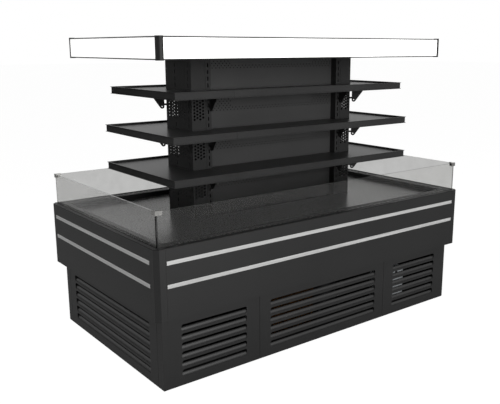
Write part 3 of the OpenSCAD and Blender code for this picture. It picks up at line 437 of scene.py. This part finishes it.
# Ends a tree: copies become real, corners that touch become one, and all gets the material
def endTree(tree, geometry, material):
    real = addNode(tree, "GeometryNodeRealizeInstances", {"Geometry": geometry})
    merged = addNode(tree, "GeometryNodeMergeByDistance",
                     {"Geometry": real.outputs["Geometry"], "Distance": 0.02 * mm})
    painted = addNode(tree, "GeometryNodeSetMaterial",
                      {"Geometry": merged.outputs["Geometry"], "Material": material})
    addNode(tree, "NodeGroupOutput", {"Geometry": painted.outputs["Geometry"]})


def joinGeometry(tree, *parts):
    joined = addNode(tree, "GeometryNodeJoinGeometry")
    for part in parts:
        tree.links.new(part, joined.inputs["Geometry"])
    return joined.outputs["Geometry"]


# Gives a sheet its thickness: the raised sheet with its walls, closed by the sheet turned over
def thicken(tree, sheet, offset):
    raised = addNode(tree, "GeometryNodeExtrudeMesh",
                     {"Mesh": sheet, "Individual": False, **offset}, mode="FACES")
    under = addNode(tree, "GeometryNodeFlipFaces", {"Mesh": sheet})
    return joinGeometry(tree, raised.outputs["Mesh"], under.outputs["Mesh"])


# Row of copies of a piece, each a step from the last
def repeat(tree, geometry, count, step):
    row = addNode(tree, "GeometryNodeMeshLine", {"Count": count, "Offset": step})
    copies = addNode(tree, "GeometryNodeInstanceOnPoints",
                     {"Points": row.outputs["Mesh"], "Instance": geometry})
    return copies.outputs["Instances"]


# Mesh that a tree makes from its named values
def growMesh(tree, values):
    holder = bpy.data.objects.new("holder", bpy.data.meshes.new("holder"))
    bpy.context.scene.collection.objects.link(holder)
    modifier = holder.modifiers.new("grow", "NODES")
    modifier.node_group = tree
    for item in tree.interface.items_tree:
        if item.item_type == "SOCKET" and item.in_out == "INPUT":
            modifier[item.identifier] = values[item.name]
    evaluated = holder.evaluated_get(bpy.context.evaluated_depsgraph_get())
    mesh = bpy.data.meshes.new_from_object(evaluated)
    bpy.data.objects.remove(holder)
    return mesh


# Sheet in the XY plane with a block of holes; every second column of holes is shifted up
def buildPerforatedTree():
    tree, size = startTree("perforated sheet", {
        "Width": "Float", "Height": "Float", "Thickness": "Float",
        "Hole Width": "Float", "Hole Height": "Float", "Hole Radius": "Float",
        "Columns": "Int", "Rows": "Int", "Column Pitch": "Float", "Row Pitch": "Float",
        "Shift": "Float", "Centre X": "Float", "Centre Y": "Float", "Material": "Material"})
    count = calculate(tree, "MULTIPLY", size["Columns"], size["Rows"])
    index = addNode(tree, "GeometryNodeInputIndex").outputs[0]
    # the trace that is added keeps rounding from putting a hole one column too early
    ratio = calculate(tree, "DIVIDE", index, size["Rows"])
    column = calculate(tree, "FLOOR", calculate(tree, "ADD", ratio, 0.0001))
    row = calculate(tree, "SUBTRACT", index, calculate(tree, "MULTIPLY", column, size["Rows"]))
    lift = calculate(tree, "MULTIPLY", calculate(tree, "MODULO", column, 2.0), size["Shift"])
    places = []
    for step, total, pitch, centre in ((column, "Columns", "Column Pitch", "Centre X"),
                                       (row, "Rows", "Row Pitch", "Centre Y")):
        middle = calculate(tree, "MULTIPLY", calculate(tree, "SUBTRACT", size[total], 1.0), 0.5)
        offset = calculate(tree, "SUBTRACT", step, middle)
        places.append(calculate(tree, "MULTIPLY_ADD", offset, size[pitch], size[centre]))
    spot = combine(tree, places[0], calculate(tree, "ADD", places[1], lift))
    points = addNode(tree, "GeometryNodePoints", {"Count": count, "Position": spot})
    square = addNode(tree, "GeometryNodeCurvePrimitiveQuadrilateral",
                     {"Width": size["Hole Width"], "Height": size["Hole Height"]})
    hole = addNode(tree, "GeometryNodeFilletCurve", {
        "Curve": square.outputs["Curve"], "Radius": size["Hole Radius"], "Count": 1,
        "Limit Radius": True}, mode="POLY")
    holes = addNode(tree, "GeometryNodeInstanceOnPoints",
                    {"Points": points.outputs[0], "Instance": hole.outputs["Curve"]})
    realHoles = addNode(tree, "GeometryNodeRealizeInstances", {"Geometry": holes.outputs["Instances"]})
    outline = addNode(tree, "GeometryNodeCurvePrimitiveQuadrilateral",
                      {"Width": size["Width"], "Height": size["Height"]})
    curves = joinGeometry(tree, outline.outputs["Curve"], realHoles.outputs["Geometry"])
    face = addNode(tree, "GeometryNodeFillCurve", {"Curve": curves}, mode="TRIANGLES")
    shell = thicken(tree, face.outputs["Mesh"], {"Offset": combine(tree, z=size["Thickness"])})
    endTree(tree, shell, size["Material"])
    return tree


# Bent blades, one above the other, drawn against the XY plane as the sheet is: each leaves the
# plane at its foot and leans in, away from the viewer, to its top
def buildBladeTree():
    tree, size = startTree("louvre blades", {
        "Length": "Float", "Rise": "Float", "Depth": "Float", "Lean": "Float", "Thickness": "Float",
        "Count": "Int", "Pitch": "Float", "Material": "Material"})
    grid = addNode(tree, "GeometryNodeMeshGrid",
                   {"Size X": size["Length"], "Size Y": 1.0, "Vertices X": 2, "Vertices Y": 9})
    position = addNode(tree, "GeometryNodeInputPosition").outputs[0]
    spot = addNode(tree, "ShaderNodeSeparateXYZ", {0: position})
    share = calculate(tree, "ADD", spot.outputs["Y"], 0.5)
    heights, depths = [], []
    for turn in (calculate(tree, "MULTIPLY", share, size["Lean"]), size["Lean"]):
        heights.append(calculate(tree, "SINE", turn))
        depths.append(calculate(tree, "SUBTRACT", 1.0, calculate(tree, "COSINE", turn)))
    up = calculate(tree, "MULTIPLY", calculate(tree, "DIVIDE", *heights), size["Rise"])
    inward = calculate(tree, "MULTIPLY", calculate(tree, "DIVIDE", *depths), size["Depth"])
    place = combine(tree, spot.outputs["X"], up, calculate(tree, "MULTIPLY", inward, -1.0))
    bent = addNode(tree, "GeometryNodeSetPosition",
                   {"Geometry": grid.outputs["Mesh"], "Position": place})
    facing = addNode(tree, "GeometryNodeFlipFaces", {"Mesh": bent.outputs["Geometry"]})
    blade = thicken(tree, facing.outputs["Mesh"], {"Offset Scale": size["Thickness"]})
    blades = repeat(tree, blade, size["Count"], combine(tree, y=size["Pitch"]))
    endTree(tree, blades, size["Material"])
    return tree


# Row of equal thin plates along X, for the fins of a coil
def buildFinTree():
    tree, size = startTree("coil fins", {
        "Fin Thickness": "Float", "Depth": "Float", "Height": "Float",
        "Count": "Int", "Pitch": "Float", "Material": "Material"})
    measure = combine(tree, size["Fin Thickness"], size["Depth"], size["Height"])
    fin = addNode(tree, "GeometryNodeMeshCube", {"Size": measure})
    fins = repeat(tree, fin.outputs["Mesh"], size["Count"], combine(tree, x=size["Pitch"]))
    endTree(tree, fins, size["Material"])
    return tree


# Return bends of a coil: half rings of tube, one above the other at both ends
def buildBendTree():
    tree, size = startTree("return bends", {
        "Bend Radius": "Float", "Tube Radius": "Float", "Count": "Int", "Pitch": "Float",
        "Half Length": "Float", "Material": "Material"})
    arc = addNode(tree, "GeometryNodeCurveArc", {
        "Resolution": 13, "Radius": size["Bend Radius"],
        "Start Angle": math.radians(-90), "Sweep Angle": math.radians(180)})
    ring = addNode(tree, "GeometryNodeCurvePrimitiveCircle",
                   {"Resolution": 12, "Radius": size["Tube Radius"]})
    tube = addNode(tree, "GeometryNodeCurveToMesh", {
        "Curve": arc.outputs["Curve"], "Profile Curve": ring.outputs["Curve"], "Fill Caps": True})
    upright = addNode(tree, "GeometryNodeTransform", {
        "Geometry": tube.outputs["Mesh"], "Translation": combine(tree, x=size["Half Length"]),
        "Rotation": (math.radians(90), 0, 0)})
    opposite = addNode(tree, "GeometryNodeTransform", {
        "Geometry": upright.outputs["Geometry"], "Rotation": (0, 0, math.radians(180))})
    pair = joinGeometry(tree, upright.outputs["Geometry"], opposite.outputs["Geometry"])
    bends = repeat(tree, pair, size["Count"], combine(tree, z=size["Pitch"]))
    endTree(tree, bends, size["Material"])
    return tree


perforatedTree = buildPerforatedTree()
bladeTree = buildBladeTree()
finTree = buildFinTree()
bendTree = buildBendTree()
print("node trees built")


# Turns a sheet drawn in XY so that its front looks along a side. X then runs to the right and Y
# runs up, as seen from that side.
sideTurn = {
    "front": Matrix(((1, 0, 0), (0, 0, -1), (0, 1, 0))).to_4x4(),
    "back": Matrix(((-1, 0, 0), (0, 0, 1), (0, 1, 0))).to_4x4(),
    "left": Matrix(((0, 0, -1), (-1, 0, 0), (0, 1, 0))).to_4x4(),
    "right": Matrix(((0, 0, 1), (1, 0, 0), (0, 1, 0))).to_4x4(),
}

# Corner radius of a punched hole, as a share of its height
holeRounding = 0.35


def middleOf(span):
    return (span[0] + span[1]) / 2


# Sheet drawn in XY, centred on the origin and thickened towards +Z. Its holes are w by h with
# corners of radius r and stand px and py apart; their block is centred on cx, cy, and every
# second column is up by shift.
def sheetMesh(material, width, height, thickness, holes=None):
    spec = {"w": 1.0, "h": 1.0, "r": 0.4, "columns": 0, "rows": 1, "px": 1.0, "py": 1.0,
            "shift": 0.0, "cx": 0.0, "cy": 0.0}
    spec.update(holes or {})
    return growMesh(perforatedTree, {
        "Width": width * mm, "Height": height * mm, "Thickness": thickness * mm,
        "Hole Width": spec["w"] * mm, "Hole Height": spec["h"] * mm, "Hole Radius": spec["r"] * mm,
        "Columns": spec["columns"], "Rows": spec["rows"],
        "Column Pitch": spec["px"] * mm, "Row Pitch": spec["py"] * mm, "Shift": spec["shift"] * mm,
        "Centre X": spec["cx"] * mm, "Centre Y": spec["cy"] * mm, "Material": material})


def moved(mesh, position):
    mesh.transform(Matrix.Translation(Vector(position) * mm))
    return mesh


# Stands a mesh drawn in XY on a side: depth is how far out from the middle of the model it is,
# x is to the right as seen from that side, and z is the height
def onSide(mesh, side, depth, x, z):
    mesh.transform(sideTurn[side])
    return moved(mesh, sideTurn[side] @ Vector((x, z, depth)))


# Sheet on a side, over a span across and a span of heights, with its outer face in a plane
def sideSheet(material, side, across, heights, plane, thickness, holes=None):
    mesh = sheetMesh(material, across[1] - across[0], heights[1] - heights[0], thickness, holes)
    return onSide(mesh, side, plane - thickness, middleOf(across), middleOf(heights))


# Makes one piece of several meshes. It is named after the CAD node that it replaces.
def joinPiece(node, kind, meshes, material, body):
    name = node + "." + kind
    shape = bmesh.new()
    for mesh in meshes:
        shape.from_mesh(mesh)
    joined = bpy.data.meshes.new(name)
    shape.to_mesh(joined)
    shape.free()
    joined.materials.append(material)
    for polygon in joined.polygons:
        polygon.material_index = 0
    piece = bpy.data.objects.new(name, joined)
    bpy.context.scene.collection.objects.link(piece)
    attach(piece, body)
    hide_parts(node)


# Louvred panels of the base: a plate with round-ended slots and a bent blade behind each. The
# panels on the back and the ends have a black mat behind the blades as well, a sheet of painted
# shade that keeps the gaps dark. Each margin runs from the edge of a panel to its slots, and gap
# is what a blade leaves open above it.
louvre = {
    "count": 6,
    "top": 294.0,
    "pitch": 43.4,
    "height": 32.0,
    "cornerRadius": 7.0,
    "cornerMargin": 98.0,
    "jointMargin": 77.0,
    "middleMargin": 66.0,
    "endMargin": 66.0,
    "sheet": 2.0,
    "returnDepth": 46.0,
    "gap": 15.0,
    "depth": 9.0,
    "lean": 75.0,
    "bladeSheet": 1.2,
    "overlap": 3.0,
    "matBehind": 11.4,
    "matMargin": 12.0,
    "matSheet": 0.8,
}
louvreFoot = louvre["top"] - louvre["height"] - (louvre["count"] - 1) * louvre["pitch"]
base = {
    "halfLength": 974.0,
    "halfDepth": 531.0,
    "heights": (3.0, 345.0),
    "jointX": 437.0,
    "seam": 1.6,
}


def louvredMeshes(side, panel, slots, plane):
    plate = sideSheet(finish["cabinet"], side, panel, base["heights"], plane, louvre["sheet"], {
        "w": slots[1] - slots[0], "h": louvre["height"], "r": louvre["cornerRadius"],
        "columns": 1, "rows": louvre["count"], "py": louvre["pitch"],
        "cx": middleOf(slots) - middleOf(panel),
        "cy": middleOf((louvreFoot, louvre["top"])) - middleOf(base["heights"])})
    blades = growMesh(bladeTree, {
        "Length": (slots[1] - slots[0] + 2 * louvre["overlap"]) * mm,
        "Rise": (louvre["height"] - louvre["gap"] + louvre["overlap"] / 2) * mm,
        "Depth": louvre["depth"] * mm, "Lean": math.radians(louvre["lean"]),
        "Thickness": louvre["bladeSheet"] * mm, "Count": louvre["count"],
        "Pitch": louvre["pitch"] * mm, "Material": finish["cabinet"]})
    bladeFoot = louvreFoot - louvre["overlap"] / 2
    return [plate, onSide(blades, side, plane - louvre["sheet"], middleOf(slots), bladeFoot)]


# Black mat of painted shade behind a panel's blades, so that its gaps read dark
def addShadeMat(body, side, slots, plane):
    across = (slots[0] - louvre["matMargin"], slots[1] + louvre["matMargin"])
    heights = (louvreFoot, louvre["top"] + louvre["matMargin"] / 2)
    mat = sideSheet(finish["paintedShadeBacking"], side, across, heights,
                    plane - louvre["matBehind"], louvre["matSheet"])
    joinPiece(body, "mat", [mat], finish["paintedShadeBacking"], body)


# The part of a corner panel that is folded back round the corner, along an end of the base. From
# the left end the front corner is seen on the right, and from the right end on the left.
def returnMesh(side, end):
    across = (base["halfDepth"] - louvre["returnDepth"], base["halfDepth"] - louvre["sheet"])
    if (side == "front") != (end == "left"):
        across = (-across[1], -across[0])
    return sideSheet(finish["cabinet"], end, across, base["heights"],
                     base["halfLength"], louvre["sheet"])


def addLouvredPanels():
    outer = base["halfLength"]
    inner = base["jointX"] + base["seam"] / 2
    middle = base["jointX"] - base["seam"] / 2
    for side in ("front", "back"):
        for place, panel, margins in (
                ("left", (-outer, -inner), (louvre["cornerMargin"], louvre["jointMargin"])),
                ("middle", (-middle, middle), (louvre["middleMargin"], louvre["middleMargin"])),
                ("right", (inner, outer), (louvre["jointMargin"], louvre["cornerMargin"]))):
            slots = (panel[0] + margins[0], panel[1] - margins[1])
            if side == "back":
                panel = (-panel[1], -panel[0])
                slots = (-slots[1], -slots[0])
            meshes = louvredMeshes(side, panel, slots, base["halfDepth"])
            if place != "middle":
                meshes.append(returnMesh(side, place))
            body = side + "_" + place + "_grille"
            joinPiece(body, "louvres", meshes, finish["cabinet"], body)
            if side == "back":
                addShadeMat(body, side, slots, base["halfDepth"])
    halfEnd = base["halfDepth"] - louvre["returnDepth"] - base["seam"]
    halfSlot = halfEnd - louvre["endMargin"]
    for side in ("left", "right"):
        body = side + "_grille"
        meshes = louvredMeshes(side, (-halfEnd, halfEnd), (-halfSlot, halfSlot), base["halfLength"])
        joinPiece(body, "louvres", meshes, finish["cabinet"], body)
        addShadeMat(body, side, (-halfSlot, halfSlot), base["halfLength"])


addLouvredPanels()
print("louvred panels done")


# Column: perforated casings round its corners and ends. Each casing is plain at the foot, above
# each tier of shelves and below it, and perforated in between. Seen from its own end, the narrow
# casing is on the right of the seam, and each casing has a strip of bracket slots.
column = {
    "halfLength": 541.5,
    "halfDepth": 123.5,
    "casingStart": 461.0,
    "recessHalf": 427.0,
    "bayPlane": 83.5,
    "foot": 645.0,
    "top": 1446.0,
    "tiers": (905.2, 1102.6, 1300.0),
    "sheet": 2.0,
    "plainAtFoot": 95.0,
    "plainAboveTier": 33.0,
    "plainBelowTier": 16.0,
    "cornerHole": (13.0, 10.5),
    "endHole": (6.5, 6.5),
    "holePitch": (16.8, 16.3),
    "holeMargin": (2.0, 4.0),
    "wideSlotX": -30.0,
    "narrowSlotX": 93.5,
    "seamX": 63.5,
    "seam": 0.8,
    "slotBand": 10.0,
    "slotWidth": 6.0,
    "slotHeight": 20.0,
    "slotRadius": 1.0,
    "slotPitch": 32.9,
    "slotFromTier": -85.0,
    "slotFromFoot": 22.0,
}


# Spans of height of a casing, from the foot to the top, and whether each is perforated
def casingZones():
    zones = []
    level = column["foot"]
    starts = [column["foot"] + column["plainAtFoot"]]
    starts += [tier + column["plainAboveTier"] for tier in column["tiers"][:-1]]
    for start, tier in zip(starts, column["tiers"]):
        zones.append(((level, start), False))
        level = tier - column["plainBelowTier"]
        zones.append(((start, level), True))
    zones.append(((level, column["top"]), False))
    return zones


# Strip of casing on one side, perforated in the bays if it is given a hole's width and height
def casingStrip(side, across, plane, hole=None):
    meshes = []
    for heights, perforated in casingZones():
        holes = None
        if perforated and hole:
            pitchX, pitchZ = column["holePitch"]
            marginX, marginZ = column["holeMargin"]
            holes = {"w": hole[0], "h": hole[1], "r": hole[1] * holeRounding,
                     "px": pitchX, "py": pitchZ, "shift": pitchZ / 2, "cy": -pitchZ / 4,
                     "columns": int((across[1] - across[0] - marginX) / pitchX),
                     "rows": int((heights[1] - heights[0] - marginZ) / pitchZ)}
        meshes.append(sideSheet(finish["casing"], side, across, heights, plane, column["sheet"], holes))
    return meshes


# Strip of casing with a row of bracket slots: one at a known distance from the top tier, and the
# others above and below it as far as they fit
def slottedStrip(side, across, plane):
    pitch = column["slotPitch"]
    known = column["tiers"][-1] + column["slotFromTier"]
    below = int((known - column["foot"] - column["slotFromFoot"]) / pitch)
    above = int((column["top"] - column["slotHeight"] - known) / pitch)
    heights = (column["foot"], column["top"])
    return sideSheet(finish["casing"], side, across, heights, plane, column["sheet"], {
        "w": column["slotWidth"], "h": column["slotHeight"], "r": column["slotRadius"],
        "columns": 1, "rows": below + 1 + above, "py": pitch,
        "cy": known + (above - below) / 2 * pitch - middleOf(heights)})


def addCasings():
    halfL, halfD, start = column["halfLength"], column["halfDepth"], column["casingStart"]
    edge = halfD - column["sheet"]
    wide, narrow = [(x - column["slotBand"] / 2, x + column["slotBand"] / 2)
                    for x in (column["wideSlotX"], column["narrowSlotX"])]
    seam = (column["seamX"], column["seamX"] + column["seam"])
    meshes = []
    for side in ("front", "back"):
        meshes += casingStrip(side, (-halfL, -start), halfD, column["cornerHole"])
        meshes += casingStrip(side, (start, halfL), halfD, column["cornerHole"])
    for side in ("left", "right"):
        meshes += casingStrip(side, (-edge, wide[0]), halfL, column["endHole"])
        meshes.append(slottedStrip(side, wide, halfL))
        meshes += casingStrip(side, (wide[1], seam[0]), halfL, column["endHole"])
        meshes += casingStrip(side, (seam[1], narrow[0]), halfL, column["endHole"])
        meshes.append(slottedStrip(side, narrow, halfL))
        meshes += casingStrip(side, (narrow[1], edge), halfL)
    joinPiece("column_casings", "perforated", meshes, finish["casing"], "cabinet")


# Bay panel: thin perforated sheet on a black lining, a sheet of painted shade that keeps the holes
# dark. A band of holes crosses each bay, and a patch of them rises from the band at both ends.
bay = {
    "sheet": 1.0,
    "topGap": 2.0,
    "bandFromTop": 122.0,
    "bandInTopBay": 91.0,
    "patchColumns": 13,
    "patchRows": 2,
    "patchEdge": 14.0,
    "holeSize": 6.5,
    "holePitch": 11.0,
}


# The sheets of one bay, from its lowest level to its highest
def bayMeshes(side, low, high, bandLow):
    pitch = bay["holePitch"]
    half = column["recessHalf"]
    bandHigh = bandLow + 2 * pitch
    patchRows = min(bay["patchRows"], int((high - bandHigh) / (2 * pitch)))
    patchHigh = bandHigh + 2 * pitch * patchRows
    inner = half - bay["patchColumns"] * pitch - bay["patchEdge"]
    hole = {"w": bay["holeSize"], "h": bay["holeSize"], "r": bay["holeSize"] * holeRounding,
            "px": pitch, "py": 2 * pitch, "shift": pitch, "cy": -pitch / 2}
    band = dict(hole, columns=int((2 * half - bay["patchEdge"]) / pitch), rows=1)
    patch = dict(hole, columns=bay["patchColumns"], rows=patchRows)
    meshes = []
    for across, heights, holes in (
            ((-half, half), (low, bandLow), None),
            ((-half, half), (bandLow, bandHigh), band),
            ((-half, -inner), (bandHigh, patchHigh), patch),
            ((-inner, inner), (bandHigh, patchHigh), None),
            ((inner, half), (bandHigh, patchHigh), patch),
            ((-half, half), (patchHigh, high), None)):
        meshes.append(sideSheet(finish["bay"], side, across, heights,
                                column["bayPlane"], bay["sheet"], holes))
    return meshes


def addBayPanels():
    levels = (column["foot"],) + column["tiers"] + (column["top"] - bay["topGap"],)
    half = column["recessHalf"]
    meshes, linings = [], []
    for side in ("front", "back"):
        linings.append(sideSheet(finish["paintedShadeBacking"], side, (-half, half), (levels[0], levels[-1]),
                                 column["bayPlane"] - bay["sheet"], bay["sheet"]))
        for low, high in zip(levels, levels[1:]):
            bandLow = low + bay["bandInTopBay"] if high == levels[-1] else high - bay["bandFromTop"]
            meshes += bayMeshes(side, low, high, bandLow)
    joinPiece("bay_panels", "perforated", meshes, finish["bay"], "cabinet")
    joinPiece("bay_panels", "lining", linings, finish["paintedShadeBacking"], "cabinet")


addCasings()
addBayPanels()
print("column done")


# Air grilles in the rim: three rows of short slots in a flat sheet, with its underside at under.
# A grille stops short of the corners of the rim and is set in from its outer face.
grille = {
    "halfLength": 1015.0,
    "halfDepth": 572.0,
    "fromCorner": 90.0,
    "inset": 28.0,
    "width": 19.0,
    "under": 670.0,
    "sheet": 2.0,
    "slotLength": 23.0,
    "slotWidth": 3.2,
    "slotRadius": 1.5,
    "slotPitch": 33.0,
    "slotMargin": 8.0,
    "rows": 3,
    "rowPitch": 6.2,
}


def addAirGrilles():
    meshes = []
    for half, plane, turns in ((grille["halfLength"], grille["halfDepth"], (0, 180)),
                               (grille["halfDepth"], grille["halfLength"], (90, 270))):
        length = 2 * (half - grille["fromCorner"])
        middle = -plane + grille["inset"] + grille["width"] / 2
        for degrees in turns:
            mesh = sheetMesh(finish["deck"], length, grille["width"], grille["sheet"], {
                "w": grille["slotLength"], "h": grille["slotWidth"], "r": grille["slotRadius"],
                "columns": int((length - grille["slotMargin"]) / grille["slotPitch"]),
                "rows": grille["rows"], "px": grille["slotPitch"], "py": grille["rowPitch"]})
            moved(mesh, (0, middle, grille["under"]))
            mesh.transform(Matrix.Rotation(math.radians(degrees), 4, "Z"))
            meshes.append(mesh)
    joinPiece("air_grilles", "slotted", meshes, finish["deck"], "cabinet")


addAirGrilles()
print("air grilles done")


# Coils: thin fins on copper tubes, which turn back at both ends. A coil with bearers stands on
# two square blocks of that size, each 1.5 times its size in from the end of the fins.
coil = {
    "finPitch": 3.2,
    "finThickness": 0.4,
    "bends": 4,
    "tubeRadius": 5.0,
    "bearer": {"condenser_coil": 0.0, "evaporator_coil": 30.0},
    "bearerInset": 1.5,
    "fins": {"condenser_coil": "coatedFins", "evaporator_coil": "fins"},
}


# Row of equal plates with its middle at a place
def plateRow(thickness, depth, height, count, place):
    row = growMesh(finTree, {
        "Fin Thickness": thickness * mm, "Depth": depth * mm, "Height": height * mm,
        "Count": count, "Pitch": coil["finPitch"] * mm, "Material": finish["fins"]})
    first = place[0] - (count - 1) * coil["finPitch"] / 2
    return moved(row, (first, place[1], place[2]))


def addCoil(node):
    low, high = [Vector(corner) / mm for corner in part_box(node)]
    bearer = coil["bearer"][node]
    foot = low.z + bearer
    height = high.z - foot
    depth = high.y - low.y
    middle = (low + high) / 2
    bendPitch = height / coil["bends"]
    halfLength = (high.x - low.x) / 2 - bendPitch / 4 - coil["tubeRadius"]
    count = int((2 * halfLength - coil["finThickness"]) / coil["finPitch"]) + 1
    meshes = [plateRow(coil["finThickness"], depth, height, count,
                       (middle.x, middle.y, foot + height / 2))]
    if bearer:
        for sign in (-1, 1):
            bearerX = middle.x + sign * (halfLength - coil["bearerInset"] * bearer)
            meshes.append(plateRow(bearer, depth, bearer, 1, (bearerX, middle.y, low.z + bearer / 2)))
    joinPiece(node, "fins", meshes, finish[coil["fins"][node]], "cabinet")
    bends = growMesh(bendTree, {
        "Bend Radius": bendPitch / 4 * mm, "Tube Radius": coil["tubeRadius"] * mm,
        "Count": coil["bends"], "Pitch": bendPitch * mm, "Half Length": halfLength * mm,
        "Material": finish["copper"]})
    moved(bends, (middle.x, middle.y, foot + bendPitch / 2))
    joinPiece(node, "bends", [bends], finish["copper"], "cabinet")


for coilNode in coil["bearer"]:
    addCoil(coilNode)
print("coils done")


# The room is white where the camera sees it, straight on or through glass. It is greyer in
# reflections (gloss) and as a light on the object (fill). The floor glows by floorShare where it
# is seen, which leaves a trace of the object's shadow, and by floorBounce for all else.
studio = {
    "fill": 0.22,
    "gloss": 0.85,
    "floorHalf": 60.0,
    "floorGlow": 1.12,
    "floorShare": 0.85,
    "floorBounce": 0.04,
    "floorMirrored": "#a0a0a0",
}

# Lamps with their places and sizes in metres
softboxes = {
    "frontSoftbox": {
        "position": (-0.7, -7.4, 2.4),
        "target": (0.0, 0.0, 0.9),
        "width": 5.0,
        "height": 3.0,
        "watts": 495.0,
    },
    "topSoftbox": {
        "position": (-3.2, 0.4, 5.2),
        "target": (0.0, 0.0, 0.4),
        "width": 3.5,
        "height": 3.0,
        "watts": 105.0,
    },
}


# Gives 1 for what the camera sees, straight on or through glass, and 0 for all else
def seenByCamera(tree, path):
    return calculate(tree, "MAXIMUM", path.outputs["Is Camera Ray"],
                     path.outputs["Is Transmission Ray"])


def addFloor():
    material, tree, shader = startMaterial("matt white paper floor", 0.9, specular=0.1)
    path = addNode(tree, "ShaderNodeLightPath")
    paper = blendColours(tree, objectNoise(tree, sizeMm=30), "#f4f4f4", "#f7f7f7")
    toned = mixColours(tree, path.outputs["Is Glossy Ray"], paper,
                       linearColour(studio["floorMirrored"]))
    tree.links.new(toned, shader.inputs["Base Color"])
    share = mapRange(tree, seenByCamera(tree, path), studio["floorBounce"], studio["floorShare"])
    light = addNode(tree, "ShaderNodeEmission",
                    {"Color": linearColour("#ffffff"), "Strength": studio["floorGlow"]})
    setSurface(tree, mixShaders(tree, share, shader.outputs["BSDF"], light.outputs["Emission"]))
    half = studio["floorHalf"]
    mesh = bpy.data.meshes.new("floor")
    mesh.from_pydata([(-half, -half, 0), (half, -half, 0), (half, half, 0), (-half, half, 0)], [],
                     [(0, 1, 2, 3)])
    mesh.materials.append(material)
    floor = bpy.data.objects.new("floor", mesh)
    bpy.context.scene.collection.objects.link(floor)


def addWorld():
    world = bpy.data.worlds.new("white room")
    bpy.context.scene.world = world
    world.use_nodes = True
    tree = world.node_tree
    path = addNode(tree, "ShaderNodeLightPath")
    mirrored = mapRange(tree, path.outputs["Is Glossy Ray"], studio["fill"], studio["gloss"])
    strength = mapRange(tree, seenByCamera(tree, path), mirrored, 1.0)
    background = tree.nodes["Background"]
    background.inputs["Color"].default_value = linearColour("#ffffff")
    tree.links.new(strength, background.inputs["Strength"])


def addSoftbox(name, box):
    data = bpy.data.lights.new(name, "AREA")
    data.shape = "RECTANGLE"
    data.size = box["width"]
    data.size_y = box["height"]
    data.energy = box["watts"]
    lamp = bpy.data.objects.new(name, data)
    lamp.location = box["position"]
    aim = Vector(box["target"]) - Vector(box["position"])
    lamp.rotation_euler = aim.to_track_quat("-Z", "Y").to_euler()
    bpy.context.scene.collection.objects.link(lamp)


addFloor()
addWorld()
for lampName, softbox in softboxes.items():
    addSoftbox(lampName, softbox)
print("stage and light done")
